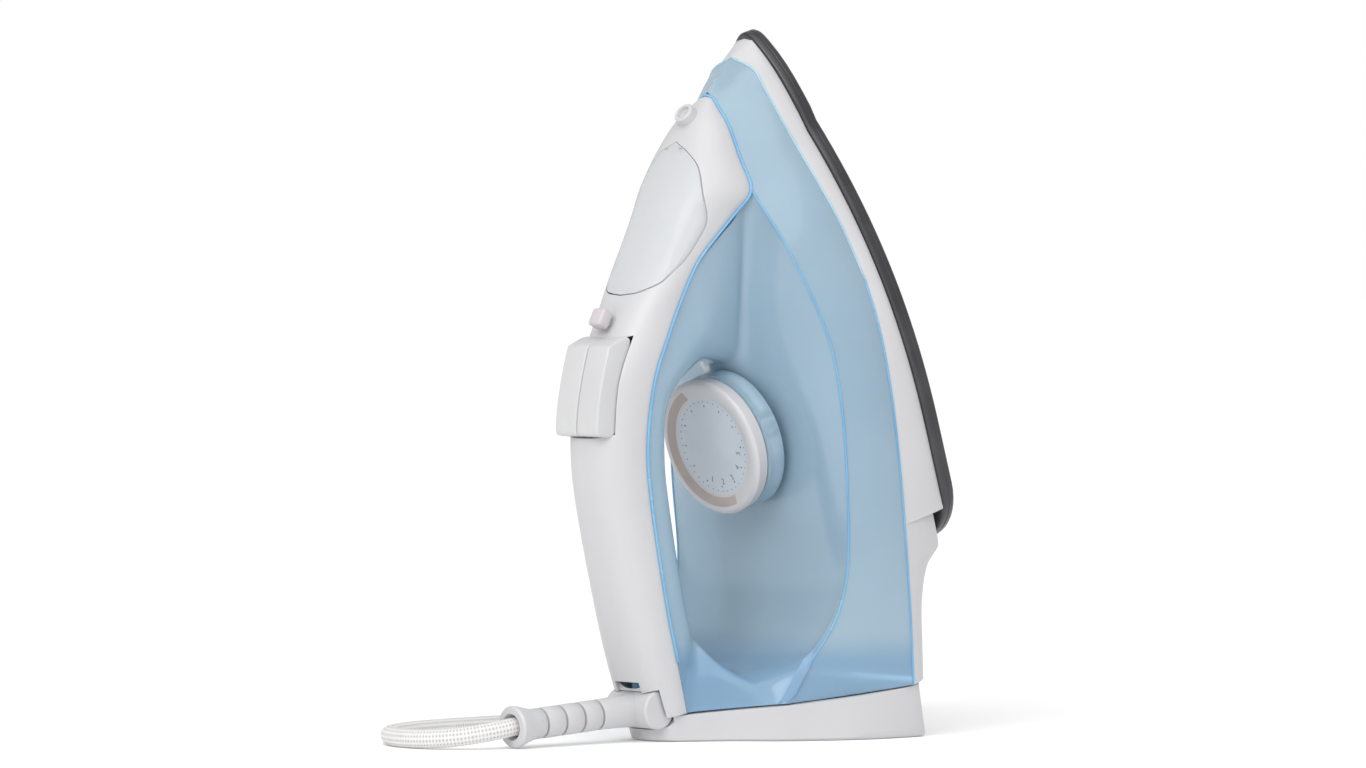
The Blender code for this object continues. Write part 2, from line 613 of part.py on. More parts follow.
BOWL_TOP, BOWL_DEPTH, INLET_RADIUS = -0.0090, 0.0090, 0.0085
bowl = leaf_prism("filler_bowl", 0, BOWL_TOP - BOWL_DEPTH, BOWL_TOP, "white", 0.2, 0.95, 0.70)
cut(bowl, leaf_prism("bowl_hollow", -0.0016, BOWL_TOP - BOWL_DEPTH + 0.0016, BOWL_TOP + 0.003, None,
                     0.2, 0.95, 0.70))
inlet_low = on_lid(0.62 * LID_LENGTH, BOWL_TOP - BOWL_DEPTH - 0.004)
inlet_high = on_lid(0.62 * LID_LENGTH, BOWL_TOP + 0.002)
cut(bowl, rod("bowl_inlet_hole", inlet_low, inlet_high, INLET_RADIUS, None, stand, segments=20))
seal_z = BOWL_TOP - BOWL_DEPTH
turned("inlet_seal", [(INLET_RADIUS - 0.0012, 0.0), (INLET_RADIUS + 0.0016, 0.0),
                      (INLET_RADIUS + 0.0016, -0.0014), (INLET_RADIUS - 0.0012, -0.0014),
                      (INLET_RADIUS - 0.0012, 0.0)], "rubber",
       on_lid(0.62 * LID_LENGTH, seal_z - GAP), lid_up, stand)

# ---- Spray nozzle ------------------------------------------------------------------------
nozzle_out = Vector((0.80, 0, 0.60))
nozzle_base = at(-25.6, 44.5)
NOZZLE_ROUND = 0.0012
turned("spray_nozzle", [(0.0, NOZZLE_PROUD - NOZZLE_ROUND), (0.0008, NOZZLE_PROUD),
                        (NOZZLE_RADIUS - NOZZLE_ROUND, NOZZLE_PROUD),
                        (NOZZLE_RADIUS, NOZZLE_PROUD - NOZZLE_ROUND),
                        (NOZZLE_RADIUS, -NOZZLE_DEPTH), (0.0, -NOZZLE_DEPTH)],
       "white", nozzle_base, nozzle_out, stand)
cut(handle_shell, rod("nozzle_hole", nozzle_base - nozzle_out * 0.006, nozzle_base
                      + nozzle_out * 0.012, NOZZLE_RADIUS + GAP, None, stand, segments=20))

# ---- Spray and steam burst buttons, with their pumps -------------------------------------
push = Vector((0.24, 0, -0.97)).normalized()
BUTTON_OUTLINE = [(-99.5, 112.5), (-98.6, 119.5), (-101.5, 122.8), (-116, 131.2), (-129, 136.6),
                  (-132.2, 135.0), (-132.6, 131.0), (-118, 124.0)]
button_root = at(-113, 124)
pump_top = button_root + push * 0.0155
PUMP_SIDE = BUTTON_WIDTH / 4
well = bmesh.new()
well_outline = [at(x, z) for x, z in ((-98.2, 100), (-98.2, 140), (-133.4, 146), (-133.4, 119))]
low_ring = [well.verts.new(p + Vector((0, -BUTTON_WIDTH / 2 - CLEAR, 0))) for p in well_outline]
high_ring = [well.verts.new(p + Vector((0, BUTTON_WIDTH / 2 + CLEAR, 0))) for p in well_outline]
well.faces.new(low_ring)
well.faces.new(high_ring)
for i in range(4):
    well.faces.new((low_ring[i], low_ring[(i + 1) % 4], high_ring[(i + 1) % 4], high_ring[i]))
cut(handle_shell, mesh_object("button_well", well, None, stand))

for name, pump_name, side in (("spray_button", "spray_pump", -1), ("steam_button", "burst_pump", 1)):
    bm = bmesh.new()
    near = [bm.verts.new(at(x, z) + Vector((0, side * CLEAR / 2, 0))) for x, z in BUTTON_OUTLINE]
    far_y = side * BUTTON_WIDTH / 2
    far = [bm.verts.new(at(x, z) + Vector((0, far_y, 0))) for x, z in BUTTON_OUTLINE]
    bm.faces.new(near)
    bm.faces.new(far)
    count = len(near)
    for i in range(count):
        bm.faces.new((near[i], near[(i + 1) % count], far[(i + 1) % count], far[i]))
    outer_rim = [e for e in bm.edges if all(abs(v.co.y - far_y) < 1e-7 for v in e.verts)]
    bmesh.ops.bevel(bm, geom=outer_rim, offset=BUTTON_ROUND, segments=2, affect="EDGES",
                    profile=0.5)
    mesh_object(name, bm, "white", stand, button_root + Vector((0, side * PUMP_SIDE, 0)))
    top = pump_top + Vector((0, side * PUMP_SIDE, 0))
    turned(pump_name + "_body",
           [(PISTON_RADIUS + CLEAR, 0.0), (PUMP_RADIUS, 0.0), (PUMP_RADIUS, -PUMP_LENGTH),
            (PISTON_RADIUS + CLEAR, -PUMP_LENGTH), (PISTON_RADIUS + CLEAR, 0.0)],
           "white", top, -push, stand, steps=14)
    rod(pump_name + "_piston", top - push * 0.0085, top + push * (PUMP_LENGTH - 0.006),
        PISTON_RADIUS, "steel", stand, segments=10, origin=top)
    coil_spring(pump_name + "_spring", top - push * (SPRING_WIRE / 2 + 2 * GAP), -push,
                SPRING_LENGTH, SPRING_RADIUS, SPRING_TURNS, "steel", stand)

# ---- Steam lever and its valve -----------------------------------------------------------
lever_top = at(-93.2, 108.6)
lever_along = (at(-105, 120) - at(-85, 101)).normalized()
lever_out = Vector((lever_along.z, 0, -lever_along.x))
if lever_out.z < 0:
    lever_out = -lever_out
lever_turn = Matrix((lever_along, Vector((0, 1, 0)), lever_out)).transposed()
LEVER_ARM = 0.016
lever_pivot = lever_top - lever_out * LEVER_ARM
STEM_RISE = 0.0035           # the stem's end, inside the thumb piece
STEM_WIDTH = 0.0026
stem = block("steam_lever", lever_top - lever_out * (LEVER_ARM - STEM_RISE) / 2,
             (STEM_WIDTH, STEM_WIDTH, LEVER_ARM + STEM_RISE), "grey", stand, lever_turn,
             origin=lever_pivot)
cut(stem, block("lever_thumb", lever_top + lever_out * 0.0048, (THUMB_LENGTH, LEVER_WIDTH, THUMB_HEIGHT),
                None, stand, lever_turn, bevel=0.0012), "UNION")
cut(handle_shell, block("lever_slot", lever_top, (0.0042, 0.0225, 0.012), None, stand, lever_turn))
valve_x = at(-84, 0).x
rod("valve_rod", (valve_x, 0, at(0, 60).z), (valve_x, 0, TANK_FLOOR_Z + 0.0042), VALVE_ROD_RADIUS,
    "steel", stand, origin=(valve_x, 0, TANK_FLOOR_Z + 0.006))
turned("valve_seat", [(VALVE_BORE, VALVE_SEAT_HEIGHT), (VALVE_SEAT_RADIUS, VALVE_SEAT_HEIGHT),
                      (VALVE_SEAT_RADIUS, 0.0), (VALVE_BORE, 0.0), (VALVE_BORE, VALVE_SEAT_HEIGHT)],
       "brass", (valve_x, 0, TANK_FLOOR_TOP + GAP), (0, 0, 1), stand)

# ---- Temperature dial --------------------------------------------------------------------
COLLAR_HEIGHT = 0.0082
DIAL_SOCKET = 0.0036         # depth of the dial's blind hole for its shaft
PILLAR_ROOM = 1.0 / 0.95     # radii from the pillar's foot back to the dial's middle
PILLAR_FOOT = at(-127.0, 57.5)
dial_centre = PILLAR_FOOT + Vector((-PILLAR_ROOM * DIAL_RADIUS, 0, COLLAR_HEIGHT + CLEAR))
DIAL_DISH = 0.0012           # how far the dial's face lies below its rim
turned("dial", [(0.0, DIAL_HEIGHT - DIAL_DISH), (DIAL_RADIUS - 0.0042, DIAL_HEIGHT - DIAL_DISH),
                (DIAL_RADIUS - 0.0034, DIAL_HEIGHT), (DIAL_RADIUS - 0.0012, DIAL_HEIGHT),
                (DIAL_RADIUS, DIAL_HEIGHT - 0.0016), (DIAL_RADIUS - 0.0008, 0.0),
                (DIAL_SHAFT_RADIUS + CLEAR, 0.0),
                (DIAL_SHAFT_RADIUS + CLEAR, DIAL_SOCKET), (0.0, DIAL_SOCKET)],
       "white", dial_centre, (0, 0, 1), stand, steps=40, origin=dial_centre)
turned("dial_collar", [(DIAL_SHAFT_RADIUS + CLEAR, COLLAR_HEIGHT),
                       (DIAL_RADIUS - 0.003, COLLAR_HEIGHT),
                       (DIAL_RADIUS - 0.001, 0.0), (DIAL_SHAFT_RADIUS + CLEAR, 0.0),
                       (DIAL_SHAFT_RADIUS + CLEAR, COLLAR_HEIGHT)], "blue",
       dial_centre - Vector((0, 0, COLLAR_HEIGHT + CLEAR)), (0, 0, 1), stand, steps=32)
upper_housing = bpy.data.objects["upper_housing"]
shaft_hole = rod("dial_shaft_hole", dial_centre - Vector((0, 0, 0.020)),
                 dial_centre + Vector((0, 0, 0.002)), DIAL_SHAFT_RADIUS + CLEAR, None, stand)
cut(upper_housing, shaft_hole)
rod("dial_shaft", (dial_centre.x, 0, TANK_FLOOR_Z + 0.0045),
    dial_centre + Vector((0, 0, DIAL_SOCKET - CLEAR)), DIAL_SHAFT_RADIUS, "steel", stand, segments=16,
    origin=dial_centre)

# ---- Thermostat, fuse and terminals behind the steam chamber ----------------------------
thermostat_x = at(-165, 0).x
block("thermostat", (thermostat_x, 0, CHAMBER_LOW + THERMOSTAT_SIZE[2] / 2), THERMOSTAT_SIZE,
      "steel", stand)
block("thermal_fuse", (at(-176, 0).x, at(0, 0, 22).y, CHAMBER_LOW + FUSE_SIZE[2] / 2), FUSE_SIZE,
      "steel", stand, bevel=0.0006)
terminal_x = at(-246, 0).x
block("terminal_block", (terminal_x, 0, at(0, 56).z), TERMINAL_SIZE, "white", stand)
for k, (name, slot) in enumerate((("live_wire", "rubber"), ("neutral_wire", "rubber"),
                                  ("earth_wire", "copper"))):
    y = (k - 1) * 0.009
    wire(name, [(terminal_x + 0.0068, y, at(0, 56).z), (terminal_x + 0.014, y, at(0, 50).z),
                (at(-222, 0).x, y * 1.6, at(0, 34).z), (at(-212, 0).x, y * 2.2, at(0, 21).z),
                (at(-204, 0).x, y * 2.4, CHAMBER_LOW + 0.0052),
                (at(-196, 0).x, y * 2.4, CHAMBER_LOW + 0.0042)], WIRE_RADIUS, slot, stand, smooth=3)

# ---- Heel cover --------------------------------------------------------------------------
front_half = [(seam_x(z) - 1.2, z, y) for z, y in HEEL_FRONT]
back_half = [(floor_x(z), z, y) for z, y in HEEL_BACK]


def whole_ring(half):
    ring = [at(x, z, y) for x, z, y in half]
    return ring + [flip @ p for p in reversed(ring[1:-1])]


heel_rings = [whole_ring(front_half)]
for t in (0.5, 0.9):
    heel_rings.append([a.lerp(b, t) for a, b in zip(heel_rings[0], whole_ring(back_half))])
floor_ring = whole_ring(back_half)
floor_middle = at(floor_x(80), 80)
heel_rings.append([p.lerp(floor_middle, 0.025) for p in floor_ring])
heel_rings.append([floor_middle] * len(floor_ring))
shell("heel_cover", grid(heel_rings, closed_columns=True), "white", at(-262, 80), parent=stand)

# ---- Cord guard, on a barrel that swivels in the heel -------------------------------------
barrel = Vector((-(heel_line.length / 2) - 0.0016, 0, 0.0132))
guard_droop = math.radians(4.0)
guard_out = Vector((-math.cos(guard_droop), 0, -math.sin(guard_droop)))
GUARD_MOUTH_RADIUS = CORD_DIAMETER / 2 + 0.0048
GUARD_ROOT_RADIUS = CORD_DIAMETER / 2 + 0.0026
GUARD_BORE = CORD_DIAMETER / 2 + GAP
BORE_DEPTH = 0.006
GROOVES = 4
guard_start = BARREL_RADIUS + GAP
guard_end = guard_start + GUARD_LENGTH
barrel_reach = Vector((0, BARREL_LENGTH / 2, 0))
rod("guard_barrel", barrel - barrel_reach, barrel + barrel_reach, BARREL_RADIUS, "white",
    segments=24, origin=barrel)

guard_profile = [(0.0, guard_end - BORE_DEPTH), (GUARD_BORE, guard_end - BORE_DEPTH),
                 (GUARD_BORE + 0.0014, guard_end), (GUARD_MOUTH_RADIUS - 0.0006, guard_end),
                 (GUARD_MOUTH_RADIUS, guard_end - 0.0016),
                 (GUARD_MOUTH_RADIUS - 0.0016, guard_end - 0.006),
                 (GUARD_ROOT_RADIUS - 0.0004, guard_end - 0.011)]
groove_step = (GUARD_LENGTH - 0.020) / GROOVES
for k in range(GROOVES):
    top_of_groove = guard_end - 0.014 - k * groove_step
    radius = GUARD_ROOT_RADIUS - 0.0003 * (GROOVES - k) / GROOVES
    guard_profile += [(radius, top_of_groove), (radius - 0.0011, top_of_groove - 0.0003),
                      (radius - 0.0011, top_of_groove - 0.0017), (radius, top_of_groove - 0.0020)]
guard_profile += [(GUARD_ROOT_RADIUS + 0.0004, guard_start), (0.0, guard_start)]
turned("cord_guard", guard_profile, "white", barrel, guard_out, steps=16, origin=barrel)

notch = rod("barrel_notch", barrel - barrel_reach * 1.06, barrel + barrel_reach * 1.06,
            BARREL_RADIUS + CLEAR, None, segments=24)
for cut_piece in ("heel_cover", "handle_shell", "upper_housing"):
    cut(bpy.data.objects[cut_piece], notch)
guard_sweep = block("guard_slot", barrel + Vector((-0.008, 0, 0.001)), (0.016, 0.0175, 0.020),
                    None)
for cut_piece in ("heel_cover", "handle_shell"):
    cut(bpy.data.objects[cut_piece], guard_sweep)

# ---- Mains cord: out of the guard, back past the heel, into a coil behind the iron --------
cord_radius = CORD_DIAMETER / 2
cord_exit = barrel + guard_out * (guard_end - BORE_DEPTH + GAP)
LIE = cord_radius + 0.0001   # a cord lying on the table
CORD_ROUTE = [(-0.1255, 0.0006, 0.0079), (-0.1330, 0.0034, 0.0066), (-0.1415, 0.0100, 0.0050),
              (-0.1478, 0.0205, 0.0041), (-0.1500, 0.0325, LIE), (-0.1470, 0.0450, LIE),
              (-0.1385, 0.0560, LIE), (-0.1250, 0.0640, LIE), (-0.1080, 0.0685, LIE),
              (-0.0850, 0.0700, LIE), (-0.0550, 0.0690, LIE), (-0.0250, 0.0672, LIE),
              (0.0050, 0.0655, LIE), (0.0260, 0.0640, LIE), (0.0415, 0.0612, LIE)]
COIL_CENTRE = Vector((0.0815, 0.0965, 0.0))
route = smooth_through([cord_exit, cord_exit + guard_out * 0.005] + CORD_ROUTE, 4)
wire("mains_cord", route, cord_radius, "braid", smooth=0)

coil_half = COIL_TURNS_WIDE * CORD_DIAMETER / 2 + 0.0002
coil_high = COIL_TURNS_HIGH * CORD_DIAMETER + 0.0003
turned("cord_coil", [(COIL_RADIUS - coil_half, coil_high), (COIL_RADIUS + coil_half, coil_high),
                     (COIL_RADIUS + coil_half, 0.0), (COIL_RADIUS - coil_half, 0.0),
                     (COIL_RADIUS - coil_half, coil_high)], "braid", COIL_CENTRE, (0, 0, 1),
       steps=32)
TAIL_TURNS = (150, 170, 190, 210, 230)     # the cord's end lies on top of the coil
TAIL_BEND = 0.032                          # then it turns in, across the coil
tail_radius = COIL_RADIUS + CORD_DIAMETER / 2
tail_z = Vector((0, 0, coil_high + LIE))
tail = [COIL_CENTRE + tail_z + tail_radius * Vector((math.cos(math.radians(turn)),
                                                     math.sin(math.radians(turn)), 0))
        for turn in TAIL_TURNS]
bend_middle = tail[-1].lerp(COIL_CENTRE + tail_z, TAIL_BEND / tail_radius)
tail += [bend_middle + TAIL_BEND * Vector((math.cos(math.radians(turn)),
                                           math.sin(math.radians(turn)), 0))
         for turn in (247, 265, 283, 300)]
wire("cord_tail", tail, cord_radius, "braid", smooth=3)

# ---- Mains plug, lying on the coil --------------------------------------------------------
PLUG_RELIEF, PLUG_BODY, PLUG_FLANGE, PLUG_RADIUS = 0.020, 0.019, 0.004, 0.0130
plug_run = (tail[-1] - tail[-2]).normalized()
plug_run.z = 0
plug_length = PLUG_RELIEF + PLUG_BODY + PLUG_FLANGE
plug_rise = math.asin((PLUG_RADIUS - cord_radius) / plug_length) + math.radians(1.2)
plug_axis = (plug_run.normalized() * math.cos(plug_rise) + Vector((0, 0, math.sin(plug_rise))))
plug_start = tail[-1] + plug_axis * (GAP + 0.0006) + Vector((0, 0, 0.0009))
turned("plug_body", [(0.0, plug_length), (PLUG_RADIUS - 0.001, plug_length),
                     (PLUG_RADIUS, plug_length - 0.001), (PLUG_RADIUS, plug_length - PLUG_FLANGE),
                     (PLUG_RADIUS - 0.003, plug_length - PLUG_FLANGE - 0.002),
                     (cord_radius + 0.0045, PLUG_RELIEF), (cord_radius + 0.0008, 0.0), (0.0, 0.0)],
       "white", plug_start, plug_axis, steps=20)
across = plug_axis.cross(Vector((0, 0, 1))).normalized()
for name, side in (("plug_pin_left", -1), ("plug_pin_right", 1)):
    foot = plug_start + plug_axis * (plug_length + GAP) + across * side * PIN_SPACING / 2
    rod(name, foot, foot + plug_axis * PIN_LENGTH, PIN_RADIUS, "brass", segments=12)

# ---- Hoses --------------------------------------------------------------------------------
wire("spray_hose", [pump_top + push * (PUMP_LENGTH + GAP) + Vector((0.0016, -PUMP_SIDE, 0)),
                    at(-99, 76, -7), at(-85, 60, -8), at(-66, 46, -6), at(-48, 42.5, -2),
                    nozzle_base - nozzle_out * (NOZZLE_DEPTH + 3 * GAP)], HOSE_RADIUS, "clear",
     stand, smooth=4)
wire("burst_hose", [pump_top + push * (PUMP_LENGTH + GAP) + Vector((0.0016, PUMP_SIDE, 0)),
                    at(-104, 78, 7), at(-101, 55, 7), (at(-100, 0).x, at(0, 0, 7).y,
                                                       TANK_FLOOR_TOP + GAP)],
     HOSE_RADIUS, "clear", stand, smooth=4)
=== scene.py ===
# %% [markdown]
# # A steam iron, standing on its heel
# The iron's solids, sizes and joints already exist as a imported frame.  This script gives
# them their looks.  It loads the frame first, because the finished
# surface has to stay the size of the real thing.

# %% Load the frame
import math

import bmesh
import bpy
import numpy as np
from mathutils import Matrix, Vector


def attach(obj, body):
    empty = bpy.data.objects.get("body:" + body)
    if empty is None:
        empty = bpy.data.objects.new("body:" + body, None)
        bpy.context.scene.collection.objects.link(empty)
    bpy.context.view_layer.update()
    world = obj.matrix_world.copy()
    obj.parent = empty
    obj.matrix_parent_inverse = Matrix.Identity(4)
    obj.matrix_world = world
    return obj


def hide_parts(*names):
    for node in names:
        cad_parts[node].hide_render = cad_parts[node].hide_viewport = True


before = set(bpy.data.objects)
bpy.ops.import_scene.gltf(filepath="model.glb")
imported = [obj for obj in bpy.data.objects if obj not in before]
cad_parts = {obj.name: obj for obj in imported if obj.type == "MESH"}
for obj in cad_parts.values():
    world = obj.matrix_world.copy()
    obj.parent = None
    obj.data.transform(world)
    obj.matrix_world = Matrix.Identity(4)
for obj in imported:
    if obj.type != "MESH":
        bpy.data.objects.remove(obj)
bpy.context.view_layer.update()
MM = 0.001

# %% [markdown]
# ## The camera
# A product picture is taken from far away with a long lens, so that near and far parts of
# the iron look the same size.  The camera stands on the handle's side, 40 degrees round
# from the front, barely above the table.

# %% Camera
AZIMUTH, ELEVATION = math.radians(-40.0), math.radians(1.0)
CAMERA_DISTANCE = 2.6
PICTURE_WIDTH = 0.5575          # how much the picture takes in, at the iron
LOOK_AT = Vector((-0.0191, 0.0161, 0.1433))
back = Vector((math.sin(AZIMUTH) * math.cos(ELEVATION),
               -math.cos(AZIMUTH) * math.cos(ELEVATION), math.sin(ELEVATION)))
lens = bpy.data.cameras.new("camera")
lens.sensor_width = 36.0
lens.lens = lens.sensor_width * CAMERA_DISTANCE / PICTURE_WIDTH
lens.clip_end = 50.0
camera = bpy.data.objects.new("camera", lens)
bpy.context.collection.objects.link(camera)
camera.location = LOOK_AT + back * CAMERA_DISTANCE
camera.rotation_euler = back.to_track_quat("Z", "Y").to_euler()
bpy.context.scene.camera = camera
print("lens", round(lens.lens), "mm")

# %% [markdown]
# ## Finishes
# Every finish is a Principled shader with a few texture nodes.  Moulded plastic isn't
# perfectly smooth: its gloss varies a little and its surface has a faint orange peel.
# The helpers below add a node, and link a noise into the roughness and the bump.

# %% Helpers for finishes
finishes = {}


def node(tree, kind, inputs=None, **settings):
    made = tree.nodes.new(kind)
    for key, value in settings.items():
        setattr(made, key, value)
    for key, value in (inputs or {}).items():
        made.inputs[key].default_value = value
    return made


def link(source, output, target, socket):
    """Join two nodes of one tree; sockets go by name or by number."""
    source.id_data.links.new(source.outputs[output], target.inputs[socket])


def placed(name, data):
    """A new object in the scene."""
    thing = bpy.data.objects.new(name, data)
    bpy.context.collection.objects.link(thing)
    return thing


def finish(name, colour, roughness=0.4, metallic=0.0, **sockets):
    """A Principled material and its tree; sockets set more of the shader's inputs."""
    made = bpy.data.materials.new(name)
    made.use_nodes = True
    shader = made.node_tree.nodes["Principled BSDF"]
    shader.inputs["Base Color"].default_value = (*colour, 1.0)
    shader.inputs["Roughness"].default_value = roughness
    shader.inputs["Metallic"].default_value = metallic
    for key, value in sockets.items():
        shader.inputs[key.replace("_", " ")].default_value = value
    finishes[name] = made
    return made, made.node_tree, shader


def vary(tree, shader, scale, low, high, bump=0.0, bump_scale=None, tint=None):
    """Noise in object space: roughness between low and high, fine bump, two close tints."""
    place = node(tree, "ShaderNodeTexCoord")
    broad = node(tree, "ShaderNodeTexNoise", {"Scale": scale, "Detail": 4.0})
    link(place, "Object", broad, "Vector")
    spread = node(tree, "ShaderNodeMapRange", {"From Min": 0.3, "From Max": 0.7,
                                               "To Min": low, "To Max": high})
    link(broad, "Fac", spread, "Value")
    link(spread, "Result", shader, "Roughness")
    if tint:
        ramp = node(tree, "ShaderNodeValToRGB")
        ramp.color_ramp.elements[0].position, ramp.color_ramp.elements[1].position = 0.35, 0.65
        ramp.color_ramp.elements[0].color = (*tint[0], 1.0)
        ramp.color_ramp.elements[1].color = (*tint[1], 1.0)
        link(broad, "Fac", ramp, "Fac")
        link(ramp, "Color", shader, "Base Color")
    if bump:
        fine = node(tree, "ShaderNodeTexNoise", {"Scale": bump_scale or scale * 30,
                                                 "Detail": 3.0})
        link(place, "Object", fine, "Vector")
        raised = node(tree, "ShaderNodeBump", {"Strength": 0.25, "Distance": bump})
        link(fine, "Fac", raised, "Height")
        link(raised, "Normal", shader, "Normal")
    return place, broad


def noisy_finish(name, colour, roughness, metallic, noise, **sockets):
    """A finish with its noise in it; noise is what vary takes after the shader."""
    made, tree, shader = finish(name, colour, roughness, metallic, **sockets)
    return tree, shader, vary(tree, shader, *noise)[0]


# %% White and grey mouldings
noisy_finish("white_moulding", (0.53, 0.53, 0.54), 0.36, 0.0,
             (18.0, 0.30, 0.42, 0.00002, 900.0, ((0.515, 0.512, 0.525), (0.540, 0.537, 0.548))),
             Specular_IOR_Level=0.4)
noisy_finish("button_moulding", (0.54, 0.54, 0.55), 0.42, 0.0,
             (30.0, 0.36, 0.48, 0.00003, 1500.0, ((0.53, 0.53, 0.54), (0.555, 0.555, 0.56))))
noisy_finish("lever_grey", (0.50, 0.46, 0.48), 0.42, 0.0,
             (60.0, 0.36, 0.50, 0.00004, 1500.0, ((0.48, 0.445, 0.465), (0.53, 0.49, 0.51))))
print("so far:", list(finishes))

# %% [markdown]
# ## Tinted and clear plastic
# The water tank is moulded in blue see-through plastic.  Light that grazes a wall passes
# through more of it, so the edges look a darker, stronger blue: real walls, with a real thickness,
# give that by themselves once the shader lets light through.  Low down, near the table, the blue is
# also painted darker: painted shade.

# %% Tinted and clear mouldings
tree, shader, place = noisy_finish(
    "tank_blue", (0.50, 0.70, 0.84), 0.14, 0.0,
    (9.0, 0.10, 0.20, 0.00001, 300.0, ((0.50, 0.68, 0.815), (0.56, 0.735, 0.85))),
    Transmission_Weight=0.55, IOR=1.36, Coat_Weight=0.25, Coat_Roughness=0.08)
MIX_FACTOR, MIX_A, MIX_B, MIX_RESULT = 0, 6, 7, 2     # the colour sockets of a Mix node
# Painted shade: below 30 to 44 mm above the table the blue is multiplied darker, by height.
height = node(tree, "ShaderNodeSeparateXYZ")
link(place, "Object", height, "Vector")
painted_shade_low = node(tree, "ShaderNodeMapRange", {"From Min": 0.030, "From Max": 0.044,
                                             "To Min": 0.85, "To Max": 0.0})
painted_shade_low.interpolation_type = "SMOOTHSTEP"
link(height, "Z", painted_shade_low, "Value")
painted_shade_tint = node(tree, "ShaderNodeMix", data_type="RGBA", blend_type="MULTIPLY")
painted_shade_tint.inputs[MIX_B].default_value = (0.62, 0.78, 0.93, 1.0)
link(painted_shade_low, "Result", painted_shade_tint, MIX_FACTOR)
tree.links.new(shader.inputs["Base Color"].links[0].from_socket, painted_shade_tint.inputs[MIX_A])
link(painted_shade_tint, MIX_RESULT, shader, "Base Color")
for name, colour, tints, clear in (
        ("seam_blue", (0.20, 0.46, 0.72), ((0.15, 0.40, 0.68), (0.23, 0.50, 0.75)), 0.15),
        ("seam_cyan", (0.42, 0.68, 0.82), ((0.38, 0.64, 0.79), (0.48, 0.73, 0.85)), 0.2)):
    noisy_finish(name, colour, 0.25, 0.0, (30.0, 0.18, 0.30, 0.00001, 600.0, tints),
                 Transmission_Weight=clear, IOR=1.40)
noisy_finish("lid_clear", (0.80, 0.815, 0.83), 0.07, 0.0, (40.0, 0.05, 0.11, 0.00001, 600.0),
             Transmission_Weight=0.45, IOR=1.22)
noisy_finish("inner_clear", (0.80, 0.88, 0.93), 0.3, 0.0, (40.0, 0.22, 0.36),
             Transmission_Weight=0.5, IOR=1.35)
print("so far:", list(finishes))

# %% Finishes of the dial: bluish grey painted shade in the dish, taupe scale band and grey print
# The dish of the white dial is painted a darker bluish grey: painted shade in the recess.
noisy_finish("dial_dish_painted_shade", (0.50, 0.545, 0.59), 0.40, 0.0,
             (25.0, 0.34, 0.46, 0.00001, 900.0, ((0.46, 0.51, 0.56), (0.54, 0.58, 0.62))))
noisy_finish("scale_taupe", (0.40, 0.34, 0.32), 0.5, 0.0,
             (60.0, 0.44, 0.56, 0.00001, 900.0, ((0.37, 0.315, 0.295), (0.43, 0.37, 0.345))))
noisy_finish("print_grey", (0.16, 0.17, 0.20), 0.5, 0.0,
             (90.0, 0.44, 0.56, 0.0, None, ((0.13, 0.14, 0.17), (0.20, 0.21, 0.24))))

# %% Metals, coating and rubber
noisy_finish("sole_coating", (0.030, 0.030, 0.034), 0.30, 0.25,
             (60.0, 0.24, 0.38, 0.00003, 2500.0, ((0.026, 0.026, 0.030), (0.040, 0.040, 0.044))),
             Coat_Weight=0.35, Coat_Roughness=0.18)
noisy_finish("cast_aluminium", (0.58, 0.58, 0.60), 0.38, 1.0,
             (90.0, 0.30, 0.48, 0.0001, 700.0, ((0.53, 0.53, 0.55), (0.63, 0.63, 0.65))))
noisy_finish("spring_steel", (0.66, 0.66, 0.68), 0.22, 1.0, (200.0, 0.16, 0.30, 0.00002, 3000.0))
noisy_finish("brass", (0.72, 0.55, 0.27), 0.26, 1.0,
             (200.0, 0.20, 0.36, 0.00002, 2500.0, ((0.68, 0.50, 0.24), (0.76, 0.60, 0.31))))
noisy_finish("copper_wire", (0.74, 0.40, 0.24), 0.30, 1.0, (200.0, 0.24, 0.40))
noisy_finish("black_rubber", (0.05, 0.05, 0.055), 0.65, 0.0,
             (120.0, 0.58, 0.74, 0.00005, 1800.0))
print(len(finishes), "finishes")

# %% [markdown]
# ## The iron's own drawing
# The iron is easiest to draw lying flat: x runs back from the tip, z up from the ironing
# face, y sideways, all in millimetres.  `at` stands such a point up on the heel, in metres.

# %% From the drawing to the table
HEEL_LOW, HEEL_HIGH = Vector((-0.2903, 0, 0.036)), Vector((-0.2596, 0, 0.1394))
heel_line = HEEL_HIGH - HEEL_LOW
LEAN = math.atan2(heel_line.x, heel_line.z)
STAND = (Matrix.Rotation(-(math.pi / 2 + LEAN), 4, "Y")
         @ Matrix.Translation(-(HEEL_LOW + HEEL_HIGH) / 2))
TURN = STAND.to_3x3()
ACROSS = Vector((0, 1, 0))
OFF_SOLE = TURN @ Vector((0, 0, 1))      # away from the ironing face
CRISP = math.radians(38.0)               # an edge with a bigger turn than this stays crisp


def at(x, z, y=0.0):
    return STAND @ Vector((x * MM, y * MM, z * MM))


TIP = [(0, 0), (-0.6, 2.6), (-1.6, 4.4), (-3, 6.0), (-5, 7.9), (-10, 12.0), (-15, 15.4),
       (-21, 18.8), (-30, 23.2), (-39, 26.9)]


def half_width(x):
    """Half the soleplate's width, x behind the tip; the tip itself is blunt and round."""
    if x > -39:
        return float(np.interp(-x, [-row[0] for row in TIP], [row[1] for row in TIP]))
    return 60.0 * (1.0 - (1.0 - min(-x, 170.0) / 170.0) ** 2.2)


def read(table, x):
    return float(np.interp(-x, [-row[0] for row in table], [row[1] for row in table]))


